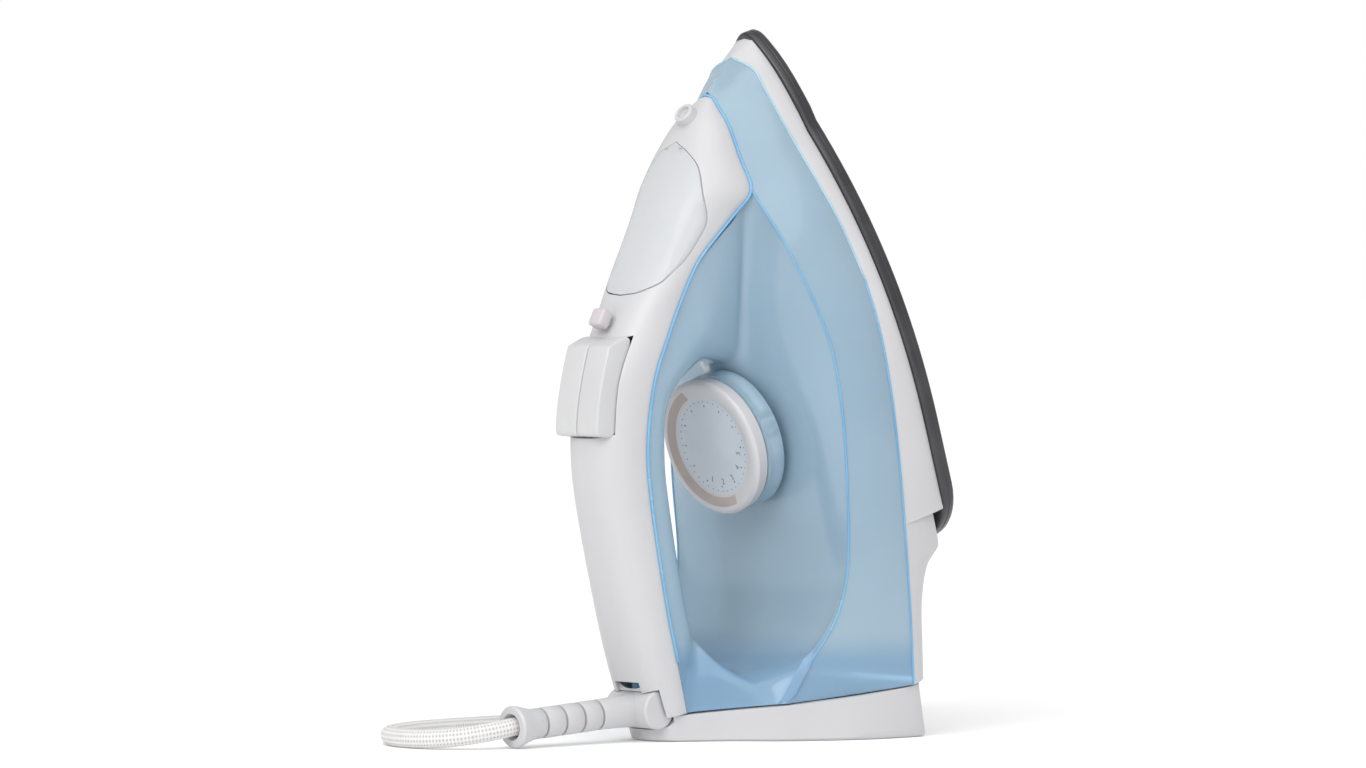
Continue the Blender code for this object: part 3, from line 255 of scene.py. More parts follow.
def refine(rows, steps, closed=False):
    """A smooth line, or a smooth set of rows, through the given ones."""
    p = np.asarray(rows, float)
    ends = (p[-1:], p[:2]) if closed else (2 * p[:1] - p[1:2], 2 * p[-1:] - p[-2:-1])
    p = np.concatenate([ends[0], p, ends[1]])
    out = []
    for i in range(1, len(p) - 2):
        a, b, c, d = p[i - 1:i + 3]
        for t in np.arange(steps) / steps:
            out.append(0.5 * (2 * b + (c - a) * t + (2 * a - 5 * b + 4 * c - d) * t ** 2
                              + (3 * b - a - 3 * c + d) * t ** 3))
    return np.array(out if closed else out + [p[-2]])


def surface(name, rows, material, inside=None, wall=0.0, closed_rows=False, closed_columns=False,
            caps=False):
    """A mesh through rows of points, with a wall on its inner side if one is given."""
    rows = np.asarray(rows, float)
    high, wide = rows.shape[:2]
    bm = bmesh.new()
    table = [[bm.verts.new(p) for p in row] for row in rows]
    for i in range(high if closed_rows else high - 1):
        for j in range(wide if closed_columns else wide - 1):
            ring = [table[i][j], table[i][(j + 1) % wide],
                    table[(i + 1) % high][(j + 1) % wide], table[(i + 1) % high][j]]
            bm.faces.new(ring)
    if caps:
        bm.faces.new(table[0])
        bm.faces.new(table[-1])
    bmesh.ops.remove_doubles(bm, verts=bm.verts, dist=0.000004)
    bmesh.ops.recalc_face_normals(bm, faces=bm.faces)
    if inside is not None:
        middle = Vector(inside)
        far = max(bm.faces, key=lambda f: (f.calc_center_median() - middle).length)
        if far.normal.dot(far.calc_center_median() - middle) < 0:
            bmesh.ops.reverse_faces(bm, faces=bm.faces)
    mesh = bpy.data.meshes.new(name)
    bm.to_mesh(mesh)
    bm.free()
    piece = placed(name, mesh)
    mesh.materials.append(finishes[material])
    if wall:
        thick = piece.modifiers.new("wall", "SOLIDIFY")
        thick.thickness, thick.offset, thick.use_even_offset = wall, -1.0, False
    mesh.shade_smooth()
    return piece


def settle(piece):
    """Turn a piece with modifiers into a plain mesh, with its crisp edges kept."""
    made = bpy.data.meshes.new_from_object(
        piece.evaluated_get(bpy.context.evaluated_depsgraph_get()))
    piece.modifiers.clear()
    piece.data = made
    made.name = piece.name
    made.shade_smooth()
    made.set_sharp_from_angle(angle=CRISP)
    return piece


def cut(piece, cutter, operation="DIFFERENCE"):
    """Cut now, and throw the cutter away."""
    knife = piece.modifiers.new("cut", "BOOLEAN")
    knife.operation, knife.object, knife.solver = operation, cutter, "EXACT"
    bpy.context.view_layer.update()
    settle(piece)
    bpy.data.objects.remove(cutter, do_unlink=True)
    return piece


def soften(piece, width, segments=3, angle=40.0):
    """Round the crisp edges over, as a mould does."""
    rounder = piece.modifiers.new("round", "BEVEL")
    rounder.width, rounder.segments = width, segments
    rounder.limit_method, rounder.angle_limit = "ANGLE", math.radians(angle)
    rounder.harden_normals = False
    bpy.context.view_layer.update()
    return settle(piece)


def turned(name, profile, base, axis, material, steps=96):
    """A turned piece from (radius, height) rows in metres."""
    frame3 = Vector(axis).to_track_quat("Z", "Y").to_matrix()
    rows = []
    for radius, height in profile:
        rows.append([Vector(base) + frame3 @ Vector((radius * math.cos(math.tau * k / steps),
                                                     radius * math.sin(math.tau * k / steps),
                                                     height)) for k in range(steps)])
    piece = surface(name, rows, material, closed_columns=True)
    piece.data.set_sharp_from_angle(angle=CRISP)
    return piece


def mm(rows):
    return [(a * MM, b * MM) for a, b in rows]


def bar(radius, low, high):
    """The profile of a plain round bar, from millimetres."""
    return mm([(0, low), (radius, low), (radius, high), (0, high)])


def prism(name, outline, low, high, material, lift):
    """An outline of points, moved low and high along lift."""
    ring = [Vector(p) for p in outline]
    rows = [[p + lift * low for p in ring], [p + lift * high for p in ring]]
    piece = surface(name, rows, material, closed_columns=True, caps=True)
    piece.data.set_sharp_from_angle(angle=CRISP)
    return piece


def both_sides(half):
    """A ring from its near half: the far half is the mirror image."""
    half = [Vector(p) for p in half]
    far = half[1:-1] if abs(half[-1].y) < 1e-7 else half[1:]
    return half + [Vector((p.x, -p.y, p.z)) for p in reversed(far)]


def join(piece, *extras):
    """Add other pieces to this one, with their own finishes."""
    bm = bmesh.new()
    bm.from_mesh(piece.data)
    for extra in extras:
        slots = []
        for material in extra.data.materials:
            if piece.data.materials.find(material.name) < 0:
                piece.data.materials.append(material)
            slots.append(piece.data.materials.find(material.name))
        start = len(bm.faces)
        bm.from_mesh(extra.data)
        bm.faces.ensure_lookup_table()
        for face in bm.faces[start:]:
            face.material_index = slots[face.material_index]
        bpy.data.objects.remove(extra, do_unlink=True)
    bm.to_mesh(piece.data)
    bm.free()
    return piece


def bead(points, radius, material, steps=5):
    """A thin moulded bead along a seam."""
    return tube("bead", refine([np.array(p) for p in points], steps), radius, material, 8)


def dress(piece, body, slot, *replaced):
    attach(piece, body)
    if replaced:
        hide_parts(*replaced)
    print(f"{piece.name}: {len(piece.data.polygons)} faces, rides {body}")
    return piece


print("tip stands at", [round(v, 4) for v in at(0, 0)])

# %% [markdown]
# ## The mains cord
# A cord has a real length.  This one leaves the guard, sinks to the table, bends round
# beside the heel and winds into a coil behind the iron.  The coil is wound like a real one:
# every layer lies on the one below, and the cord climbs only where the place above is free.

# %% The cord's line
CORD_DIAMETER = 0.0074
CORD_RADIUS = CORD_DIAMETER / 2
CORD_POINTS = 1300              # along the whole cord, evenly
CORD_START = np.array([-0.1158, 0.0, 0.0090])
LIE = CORD_RADIUS + 0.0001
ROUTE = [(-0.1208, 0, 0.0087), (-0.1255, 0.0006, 0.0079), (-0.1330, 0.0034, 0.0066),
         (-0.1415, 0.0100, 0.0050), (-0.1478, 0.0205, 0.0041), (-0.1500, 0.0325, LIE),
         (-0.1470, 0.0450, LIE), (-0.1385, 0.0560, LIE), (-0.1250, 0.0640, LIE),
         (-0.1080, 0.0685, LIE), (-0.0850, 0.0700, LIE), (-0.0550, 0.0690, LIE),
         (-0.0250, 0.0672, LIE), (0.0050, 0.0655, LIE), (0.0260, 0.0640, LIE),
         (0.0415, 0.0612, LIE), (0.0560, 0.0570, LIE)]
COIL_MIDDLE = np.array([0.0815, 0.0965, 0.0])
PITCH = CORD_DIAMETER + 0.0002
NEAR, FAR = 0.041 - PITCH / 2, 0.041 + PITCH / 2
LAYERS = [LIE + PITCH * k for k in range(5)]
# (turn in degrees, radius, height): between two rows the cord eases from one to the next
WINDING = [(-102, FAR, LAYERS[0]), (125, FAR, LAYERS[0]), (225, NEAR, LAYERS[0]),
           (418, NEAR, LAYERS[0]), (483, NEAR, LAYERS[1]), (675, NEAR, LAYERS[1]),
           (775, FAR, LAYERS[1]), (963, FAR, LAYERS[1]), (1028, FAR, LAYERS[2]),
           (1218, FAR, LAYERS[2]), (1318, NEAR, LAYERS[2]), (1500, NEAR, LAYERS[2]),
           (1569, NEAR, LAYERS[3]), (1758, NEAR, LAYERS[3]), (1858, FAR, LAYERS[3]),
           (1945, FAR, LAYERS[3]), (2015, FAR, LAYERS[4]), (2030, FAR, LAYERS[4])]
BEND = 0.032                    # at the end the cord turns in, across the coil, to its plug
coil_line = []
for (a, r0, z0), (b, r1, z1) in zip(WINDING, WINDING[1:]):
    count = int((b - a) / 2.5)
    for t in np.arange(count) / count:
        ease = t * t * (3 - 2 * t)
        turn, r, z = math.radians(a + (b - a) * t), r0 + (r1 - r0) * ease, z0 + (z1 - z0) * ease
        coil_line.append(COIL_MIDDLE + [r * math.cos(turn), r * math.sin(turn), z])
last = np.array([math.cos(math.radians(230)), math.sin(math.radians(230)), 0.0])
bend_middle = COIL_MIDDLE + last * (FAR - BEND) + [0, 0, LAYERS[4]]
for turn in np.arange(230, 301, 3.5):
    coil_line.append(bend_middle + BEND * np.array([math.cos(math.radians(turn)),
                                                    math.sin(math.radians(turn)), 0.0]))
way_out = refine([CORD_START] + [np.array(p) for p in ROUTE], 8)[:-4]
cord_line = np.concatenate([way_out, coil_line])
for _ in range(6):
    cord_line[1:-1] += 0.25 * (cord_line[:-2] - 2 * cord_line[1:-1] + cord_line[2:])
steps_along = np.linalg.norm(np.diff(cord_line, axis=0), axis=1)
run = np.concatenate([[0.0], np.cumsum(steps_along)])
even = np.linspace(0.0, run[-1], CORD_POINTS)
cord_line = np.stack([np.interp(even, run, cord_line[:, k]) for k in range(3)], axis=1)
cord_length = float(np.linalg.norm(np.diff(cord_line, axis=0), axis=1).sum())
run_dir = np.diff(cord_line, axis=0)
run_dir /= np.linalg.norm(run_dir, axis=1)[:, None]
bends = np.linalg.norm(np.diff(run_dir, axis=0), axis=1) / (cord_length / (CORD_POINTS - 1))
print("cord", round(cord_length, 3), "m, tightest bend", round(1 / bends.max(), 4), "m at",
      [round(v, 4) for v in cord_line[int(bends.argmax())]])

# %% [markdown]
# The tube carries a UV map, metres along and turns around, so that the braid follows the
# cord instead of swimming through it.

# %% The braided tube
made, tree, shader = finish("white_braid", (0.70, 0.69, 0.67), 0.85, Sheen_Weight=0.25)
uv = node(tree, "ShaderNodeUVMap", uv_map="braid")
parts = node(tree, "ShaderNodeSeparateXYZ")
link(uv, "UV", parts, "Vector")
waves = []
for sign in (1.0, -1.0):
    along = node(tree, "ShaderNodeMath", {1: math.tau * 380.0}, operation="MULTIPLY")
    around = node(tree, "ShaderNodeMath", {1: sign * math.tau * 6.0}, operation="MULTIPLY")
    both = node(tree, "ShaderNodeMath", operation="ADD")
    wave = node(tree, "ShaderNodeMath", operation="SINE")
    link(parts, "X", along, 0)
    link(parts, "Y", around, 0)
    link(along, 0, both, 0)
    link(around, 0, both, 1)
    link(both, 0, wave, 0)
    waves.append(wave)
weave = node(tree, "ShaderNodeMath", operation="MULTIPLY")
for k in range(2):
    link(waves[k], 0, weave, k)
yarn = node(tree, "ShaderNodeMapRange", {"From Min": -0.6, "From Max": 0.6})
link(weave, 0, yarn, "Value")
place = node(tree, "ShaderNodeTexCoord")
fleck = node(tree, "ShaderNodeTexNoise", {"Scale": 900.0, "Detail": 2.0})
link(place, "Object", fleck, "Vector")
# Colour: the yarn's own speckle, and painted shade that makes the braid's grooves darker where its
# bump is low.
fleck_and_painted_groove_shade = node(tree, "ShaderNodeMath", {1: 0.55}, operation="MULTIPLY_ADD")
link(fleck, "Fac", fleck_and_painted_groove_shade, 0)
link(yarn, "Result", fleck_and_painted_groove_shade, 2)
ramp = node(tree, "ShaderNodeValToRGB")
ramp.color_ramp.elements[0].position, ramp.color_ramp.elements[1].position = 0.15, 0.85
ramp.color_ramp.elements[0].color = (0.40, 0.39, 0.38, 1)
ramp.color_ramp.elements[1].color = (0.70, 0.69, 0.68, 1)
link(fleck_and_painted_groove_shade, 0, ramp, "Fac")
link(ramp, "Color", shader, "Base Color")
raised = node(tree, "ShaderNodeBump", {"Strength": 0.5, "Distance": 0.0002})
link(yarn, "Result", raised, "Height")
link(raised, "Normal", shader, "Normal")


def tube(name, line, radius, material, around=16):
    """A tube along a line, turned as little as possible, with a UV map for its braid."""
    line = np.asarray(line, float)
    heading = np.gradient(line, axis=0)
    heading /= np.linalg.norm(heading, axis=1)[:, None]
    side = np.cross(heading[0], [0.1, 0.2, 1.0])
    rows = []
    for p, way in zip(line, heading):
        side = side - way * side.dot(way)
        side /= np.linalg.norm(side)
        up = np.cross(way, side)
        rows.append([p + radius * (math.cos(math.tau * k / around) * side
                                   + math.sin(math.tau * k / around) * up)
                     for k in range(around)])
    verts = [tuple(p) for row in rows for p in row]
    faces, uvs = [], []
    length = np.concatenate([[0.0], np.cumsum(np.linalg.norm(np.diff(line, axis=0), axis=1))])
    for i in range(len(rows) - 1):
        for k in range(around):
            j = (k + 1) % around
            faces.append((i * around + k, (i + 1) * around + k, (i + 1) * around + j,
                          i * around + j))
            uvs += [(length[i], k / around), (length[i + 1], k / around),
                    (length[i + 1], (k + 1) / around), (length[i], (k + 1) / around)]
    faces += [tuple(range(around)), tuple(len(verts) - 1 - k for k in range(around))]
    uvs += [(0.0, 0.0)] * (2 * around)
    mesh = bpy.data.meshes.new(name)
    mesh.from_pydata(verts, [], faces)
    layer = mesh.uv_layers.new(name="braid")
    layer.data.foreach_set("uv", [v for pair in uvs for v in pair])
    mesh.materials.append(finishes[material])
    bm = bmesh.new()
    bm.from_mesh(mesh)
    bmesh.ops.recalc_face_normals(bm, faces=bm.faces)
    bm.to_mesh(mesh)
    bm.free()
    mesh.shade_smooth()
    piece = placed(name, mesh)
    return piece


mains_cord = dress(tube("braided_cord", cord_line, CORD_RADIUS, "white_braid"), "root", "braid",
                   "mains_cord", "cord_coil", "cord_tail")

# %% [markdown]
# The plug is a CAD piece already; only its finish is new.

# %% [markdown]
# ## Soleplate and the white lower body

# %% Soleplate: rounded rim, a parting line round its edge, and steam holes
def sole_ring(inset, z, rear=-217.0, corner=24.0):
    xs = [-0.3, -0.6, -1.1, -1.6, -3, -5, -7, -10, -15]
    xs += list(np.arange(-21, rear + corner, -6.0)) + [rear + corner]
    line = [np.array([x, max(half_width(x), 0.0)]) for x in xs]
    flank = half_width(rear + corner)
    for k in range(1, 13):
        turn = math.radians(90 * k / 12)
        line.append(np.array([rear + corner * (1 - math.sin(turn)),
                              flank - corner * (1 - math.cos(turn))]))
    line = np.array([[0.0, 0.0]] + line)
    heading = np.gradient(line, axis=0)
    heading[0] = (0, 1)
    heading /= np.linalg.norm(heading, axis=1)[:, None]
    normal = np.stack([heading[:, 1], -heading[:, 0]], axis=1)
    line = line - normal * inset
    line[0] = (-inset, 0)
    line[:, 1] = np.maximum(line[:, 1], 0.0)
    half = [at(x, z, y) for x, y in line]
    return both_sides(half)


HOLE = mm([(0, -1), (2.4, -1), (2.2, 0.0), (1.5, 0.8), (1.5, 3), (0, 3)])
rim = [(2.2, 0.0), (1.2, 0.1), (0.4, 0.5), (0.05, 1.1), (0.0, 1.8), (0.0, 3.1), (0.25, 3.3),
       (0.25, 3.6), (0.0, 3.8), (0.0, 5.6), (0.25, 6.2), (0.7, 6.6), (1.6, 6.8)]
rings = [sole_ring(inset, z) for inset, z in rim]
soleplate = surface("soleplate", rings, "sole_coating", closed_columns=True, caps=True)
for k in range(7):
    for side in (-1, 1):
        x = -34.0 - 21.0 * k
        y = side * 0.62 * half_width(x)
        cut(soleplate, turned("hole", HOLE, at(x, 0, y), OFF_SOLE, "sole_coating", 24))
settle(soleplate)
dress(soleplate, "root", "sole", "soleplate")

# %% The white skirt, from the soleplate up to the tank, closed at the back
WHITE_WALL, TANK_WALL, HOUSING_WALL, HANDLE_WALL = 2.0 * MM, 1.1 * MM, 1.0 * MM, 2.1 * MM
SEAM_INSET = 1.5                # how far the seam lies inside the soleplate's edge
SKIRT_SEAM = [(-8, 16.2), (-26, 17), (-52, 16), (-86, 14.6), (-112, 15), (-144, 19.7),
              (-185, 26), (-217, 32), (-241, 37), (-266, 43)]
skirt_xs = [-3.4, -4.2, -5.4, -7, -9, -12, -16, -20] + list(np.arange(-26, -202, -8.0)) + [-202]


def seam_y(x):
    """Half the width of the seam between skirt and tank."""
    if x > -13:
        return float(np.interp(-x, [7.6, 9.0, 13.0], [0.0, 4.6, half_width(-13) - SEAM_INSET]))
    return half_width(x) - SEAM_INSET


skirt_half = []
for x in skirt_xs:
    lean = 4.4 * max(0.0, 1 - (-x - 3.2) / 13)
    seam = read(SKIRT_SEAM, x - lean) if x < -8 else 16.2
    low_y, high_y = max(half_width(x) - 1.2, 0.0), seam_y(x - lean)
    foot, head = 6.9, seam - 0.15
    row = []
    for share, tuck in ((0.0, 0.5), (0.08, 0.0), (0.35, 0.0), (0.65, 0.0), (0.93, 0.0), (1.0, 0.3)):
        y = low_y + (high_y - low_y) * share + 0.5 * math.sin(math.pi * share) - tuck
        row.append(at(x - lean * share, foot + (head - foot) * share, max(y, 0.01)))
    skirt_half.append(row)
mirrored = [[Vector((p.x, -p.y, p.z)) for p in row] for row in reversed(skirt_half)]
nose_row = [at(-2.6 - 5.0 * share, 6.9 + 9.1 * share) for share in (0, 0.08, 0.35, 0.65, 0.93, 1)]
rows = mirrored + [nose_row] + skirt_half
skirt = surface("skirt", rows, "white_moulding", inside=at(-120, 30),
                wall=WHITE_WALL)
settle(skirt)
dress(skirt, "root", "white", "skirt")

base_rows = []
for x, low in ((-200.0, 7.0), (-206, 7.0), (-212, 7.0), (-216.5, 7.6), (-219, 11.5), (-222, 16.5),
               (-228, 21), (-238, 25.6), (-252, 29.4), (-265.8, 33)):
    seam = read(SKIRT_SEAM, x) - 0.15
    edge = half_width(x) - SEAM_INSET
    half = [(low, 0.0), (low, 0.55 * edge), (low, 0.84 * edge),
            (low + 0.16 * (seam - low), 0.95 * edge), (low + 0.5 * (seam - low), 0.99 * edge),
            (seam - 0.5, edge), (seam, edge - 0.5)]
    base_rows.append([at(x, z, -y) for z, y in reversed(half)] + [at(x, z, y) for z, y in half[1:]])
rear_base = surface("rear_base", refine(base_rows, 4), "white_moulding", inside=at(-236, 60),
                    wall=WHITE_WALL)
settle(rear_base)
dress(rear_base, "root", "white", "rear_base")

# %% [markdown]
# ## Tank and upper housing
# Two blue mouldings meet along a ridge.  The lower one is the water tank, between the white
# skirt and the ridge; the upper one climbs from the ridge to the finger opening.

# %% Water tank
TANK_ROWS = [(-265.6, (-256.2, 97, 42)), (-250, (-244, 85, 46.5)), (-236, (-232, 71.5, 50.5)),
             (-223, (-219, 62.5, 52.5)), (-207, (-205, 57, 53.5)), (-181, (-181, 51.5, 54.8)),
             (-152, (-152, 45.3, 54.6)), (-126, (-126, 40.8, 52)), (-103, (-103, 40.9, 47.3)),
             (-79.5, (-79.5, 42.7, 40)), (-65, (-66, 43, 32.5)), (-50, (-57, 42, 26)),
             (-36, (-44, 39.5, 20.5)), (-22, (-31, 36, 13.5)), (-13, (-23, 33.4, 6.8)),
             (-8, (-18, 32, 0))]
tank_rows = []
for seam_at, ridge in TANK_ROWS:
    low_y = half_width(seam_at) - SEAM_INSET if seam_at < -8 else 0.0
    low, high = at(seam_at, read(SKIRT_SEAM, seam_at), low_y), at(*ridge)
    bulge = 1.6 * MM * min(1.0, low_y / 30.0)
    tank_rows.append([low.lerp(high, t / 10) + Vector((0, math.sin(math.pi * t / 10) * bulge, 0))
                      for t in range(11)])
tank_half = refine(tank_rows, 6)
flip = np.array([1.0, -1.0, 1.0])
tank_all = np.concatenate([tank_half, (tank_half * flip)[::-1][1:]])
tank = surface("water_tank", tank_all, "tank_blue", inside=at(-150, 60), wall=TANK_WALL)
settle(tank)
ridge_line = [at(*ridge) for _, ridge in TANK_ROWS]
seam_line = [row[0] + Vector((0, 0.1 * MM, 0)) for row in tank_rows]
beads = []
for side in (1, -1):
    mirror = np.array([1, side, 1])
    beads.append(bead([np.array(p) * mirror for p in ridge_line[1:12]], 0.45 * MM, "seam_blue"))
    beads.append(bead([np.array(p) * mirror for p in seam_line[:9]], 0.45 * MM, "seam_blue"))
    beads.append(bead([np.array(p) * mirror for p in seam_line[8:]], 0.40 * MM, "seam_cyan"))
join(tank, *beads)
dress(tank, "root", "blue", "water_tank")

# %% Upper housing, round the finger opening
SPOKES = [((-57, 42, 26), (0.45, 0.06), (0.66, 0.36)),
          ((-79.5, 42.7, 40), (0.28, 0.05), (0.52, 0.40)),
          ((-103, 40.9, 47.3), (0.28, 0.03), (0.62, 0.30)),
          ((-126, 40.8, 52), (0.35, 0.03), (0.75, 0.25)),
          ((-152, 45.3, 54.6), (0.40, 0.03), (0.80, 0.25)),
          ((-181, 51.5, 54.8), (0.40, 0.03), (0.80, 0.25)),
          ((-205, 57, 53.5), (0.40, 0.03), (0.80, 0.25)),
          ((-219, 62.5, 52.5), (0.40, 0.03), (0.80, 0.25)),
          ((-232, 71.5, 50.5), (0.40, 0.03), (0.78, 0.28)),
          ((-244, 85, 46.5), (0.41, 0.04), (0.77, 0.30)),
          ((-256.2, 97, 42), (0.42, 0.05), (0.76, 0.32)),
          ((-255.3, 105, 34.5), (0.48, 0.055), (0.82, 0.33)),
          ((-254, 113, 27), (0.55, 0.06), (0.88, 0.34)),
          ((-252.8, 120, 21.5), (0.58, 0.06), (0.90, 0.34)),
          ((-251.5, 126.7, 17), (0.60, 0.06), (0.92, 0.34)),
          ((-230, 125.7, 17), (0.60, 0.06), (0.93, 0.34)),
          ((-206, 124.7, 17), (0.60, 0.06), (0.93, 0.34)),
          ((-165, 120.7, 17), (0.60, 0.06), (0.93, 0.34)),
          ((-141, 115.7, 17), (0.60, 0.06), (0.93, 0.34)),
          ((-119, 105.7, 17.4), (0.60, 0.06), (0.93, 0.34)),
          ((-91.5, 83.7, 18.3), (0.62, 0.05), (0.93, 0.32)),
          ((-78, 71.7, 20.8), (0.60, 0.05), (0.86, 0.34)),
          ((-66, 52, 23.5), (0.52, 0.05), (0.76, 0.36))]
GRIP_CENTRE, GRIP_LONG, GRIP_TALL, GRIP_SLANT, GRIP_POWER = (-182, 82), 62.0, 27.0, 0.10, 3.0


def grip_edge(point):
    """The finger opening's edge in the direction of an outer point."""
    u = (point[0] - GRIP_CENTRE[0]) / GRIP_LONG
    w = (point[1] - GRIP_CENTRE[1]) / GRIP_TALL
    size = (abs(u) ** GRIP_POWER + abs(w) ** GRIP_POWER) ** (1 / GRIP_POWER)
    x, z = GRIP_CENTRE[0] + GRIP_LONG * u / size, GRIP_CENTRE[1] + GRIP_TALL * w / size
    return x, z + GRIP_SLANT * (GRIP_CENTRE[0] - x)


spoke_rows = []
for outer, first, second in SPOKES:
    x0, z0 = grip_edge(outer)
    x1, z1, y1 = outer
    row = [(x0, z0, 0.0)] + [(x0 + (x1 - x0) * way, z0 + (z1 - z0) * way, y1 * share)
                             for share, way in (first, second)] + [(x1, z1, y1)]
    ghost = (row[1][0], row[1][1], -row[1][2])
    spoke_rows.append(refine([ghost] + row, 8)[8:])
around = refine(spoke_rows, 5, closed=True)
calm = np.linspace(1.0, 0.0, 16)[None, :, None]    # even out the bend at the opening
for _ in range(8):
    mean = 0.5 * (np.roll(around, 1, 0) + np.roll(around, -1, 0))[:, :16]
    around[:, :16] += 0.6 * calm * (mean - around[:, :16])
around[:, 0, 2] = 0.0
lip = around[:, -1].copy()       # the edge tucks in under the next moulding
lip[:, 1] += np.where((lip[:, 1] > 50) & (lip[:, 1] > 1.05 * (lip[:, 2] + 30)), 2.2, -2.0)
lip[:, 2] = np.maximum(lip[:, 2] - 2.6, 0)
around = np.concatenate([around, lip[:, None]], axis=1)
whole = np.concatenate([(around * [1, 1, -1])[:, ::-1], around[:, 1:]], axis=1)
whole = np.array([[at(*p) for p in row] for row in whole])
housing = surface("upper_housing", whole, "tank_blue", inside=at(-182, 96), wall=HOUSING_WALL,
                  closed_rows=True)
settle(housing)


def trim_at_seam(piece):
    """Cut off what reaches past the heel cover's front edge."""
    bm = bmesh.new()
    bm.from_mesh(piece.data)
    across_seam = (at(-84, 14.5) - at(0, 0)).normalized()
    bmesh.ops.bisect_plane(bm, geom=bm.verts[:] + bm.edges[:] + bm.faces[:], clear_outer=True,
                           plane_co=at(-265.4, 43), plane_no=across_seam)
    bm.to_mesh(piece.data)
    bm.free()


trim_at_seam(housing)
HANDLE_ROWS = [((-20.6, 33.2, 3.2), (-20.2, 35.6)), ((-25, 34.6, 7.6), (-22.8, 41)),
               ((-31, 36.4, 13.2), (-27, 47)), ((-44, 39.9, 20.2), (-36, 56.5)),
               ((-57, 42.6, 25.6), (-48, 67.2)), ((-64.6, 52.4, 23.2), (-60, 78)),
               ((-77, 72.4, 20.8), (-79, 94.8)), ((-90.5, 84.4, 18.4), (-98, 112.8)),
               ((-104, 95.8, 18), (-110, 123.4)), ((-118.5, 106.4, 17.4), (-121, 130)),
               ((-141, 116.4, 17), (-142, 136.8)), ((-165, 121.4, 17), (-165, 139.8)),
               ((-206, 125.4, 17), (-206, 141.6)), ((-230, 126.4, 17), (-230, 141.4)),
               ((-251, 127.4, 17), (-250, 139.4))]
DIAL_AT = at(-157, 66.2)
seat = turned("seat", bar(28.9, -7, 8), DIAL_AT, OFF_SOLE, "tank_blue", 96)
cut(housing, seat)
nose = [at(x, z - 0.3, y + 0.4) for (x, z, y), _ in HANDLE_ROWS[:14]]
nose_line = [Vector((p.x, -p.y, p.z)) for p in reversed(nose)] + [at(-19.2, 33.4)] + nose
join(housing, bead(nose_line, 0.6 * MM, "seam_blue"))
dress(housing, "root", "blue", "upper_housing")

# %% [markdown]
# ## Handle, filler lid and buttons

# %% Handle shell
ARCH_POWER = 2.6
arch_rows = []
for edge, top in [((-19.7, 33.3, 0.3), (-19.6, 33.9))] + HANDLE_ROWS:
    row = []
    for k in range(33):
        turn = math.pi * k / 32
        across = math.copysign(abs(math.cos(turn)) ** (2 / ARCH_POWER), math.cos(turn))
        up = abs(math.sin(turn)) ** (2 / ARCH_POWER)
        row.append(at(edge[0] + (top[0] - edge[0]) * up, edge[1] + (top[1] - edge[1]) * up,
                      edge[2] * across))
    arch_rows.append(row)
handle = surface("handle_shell", refine(arch_rows, 5), "white_moulding", inside=at(-150, 95),
                 wall=HANDLE_WALL)
settle(handle)

LID_FRONT, LID_REAR = at(-33, 54), at(-86, 101)
lid_along = (LID_REAR - LID_FRONT).normalized()
lid_up = ACROSS.cross(lid_along) * -1.0
if lid_up.x > 0:
    lid_up = -lid_up
LID_LENGTH = (LID_REAR - LID_FRONT).length
LID_SIDE = [(0.0, 0.02), (0.06, 0.40), (0.14, 0.72), (0.28, 0.93), (0.39, 1.0), (0.525, 0.98),
            (0.69, 0.925), (0.80, 0.84), (0.866, 0.75), (0.92, 0.56), (0.95, 0.36), (0.965, 0.02)]
LID_HALF_WIDTH = 21.6 * MM


def lid_ring(grow, front=0.0, rear=1.0, share=1.0):
    side = refine([(s * LID_LENGTH, w * LID_HALF_WIDTH * share) for s, w in LID_SIDE
                   if front <= s <= rear], 5)
    side = [(s + grow * max(0.0, s / LID_LENGTH - 0.8) * 6, max(w + grow, 0.0004))
            for s, w in side]
    tip = side[0][0] - grow * 1.2 - side[0][1] * 0.35
    ring = [(tip, 0.0)] + side + [(s, -w) for s, w in reversed(side)]
    return [LID_FRONT + lid_along * s + Vector((0, w, 0)) for s, w in ring]


lid = placed("filler_lid", handle.data.copy())
lid.data.materials.clear()
lid.data.materials.append(finishes["lid_clear"])
cut(lid, prism("lid_outline", lid_ring(-0.3 * MM), -14 * MM, 10 * MM, "lid_clear", lid_up),
    "INTERSECT")
cut(handle, prism("lid_opening", lid_ring(0.25 * MM), -14 * MM, 10 * MM, "white_moulding", lid_up))
well = prism("button_well", [at(x, z) for x, z in ((-98.2, 100), (-98.2, 140), (-133.4, 146),
                                                   (-133.4, 119))],
             -13.8 * MM, 13.8 * MM, "white_moulding", ACROSS)
cut(handle, well)
deck = prism("button_deck", [at(x, z) for x, z in ((-97.6, 97), (-97.6, 103), (-116, 115.5),
                                                   (-134, 123), (-134, 120), (-116, 110))],
             -14.6 * MM, 14.6 * MM, "white_moulding", ACROSS)
join(handle, deck)
soften(handle, 0.35 * MM, 2, 50)
dress(handle, "root", "white", "handle_shell")
dress(lid, "lid", "clear", "filler_lid")

# %% Filler bowl under the lid
BOWL_TOP, BOWL_DEPTH = -7.2 * MM, 6.5 * MM
bowl = prism("filler_bowl", lid_ring(0, 0.05, 0.93, 0.74), BOWL_TOP - BOWL_DEPTH, BOWL_TOP,
             "white_moulding", lid_up)
cut(bowl, prism("bowl_hollow", lid_ring(-1.5 * MM, 0.05, 0.93, 0.74), BOWL_TOP - BOWL_DEPTH
                + 1.5 * MM, BOWL_TOP + 3 * MM, "white_moulding", lid_up))
inlet = LID_FRONT + lid_along * 0.56 * LID_LENGTH + lid_up * (BOWL_TOP - BOWL_DEPTH)
cut(bowl, turned("inlet", bar(8.5, -3, 4), inlet, lid_up, "white_moulding", 48))
dress(bowl, "root", "white", "filler_bowl")

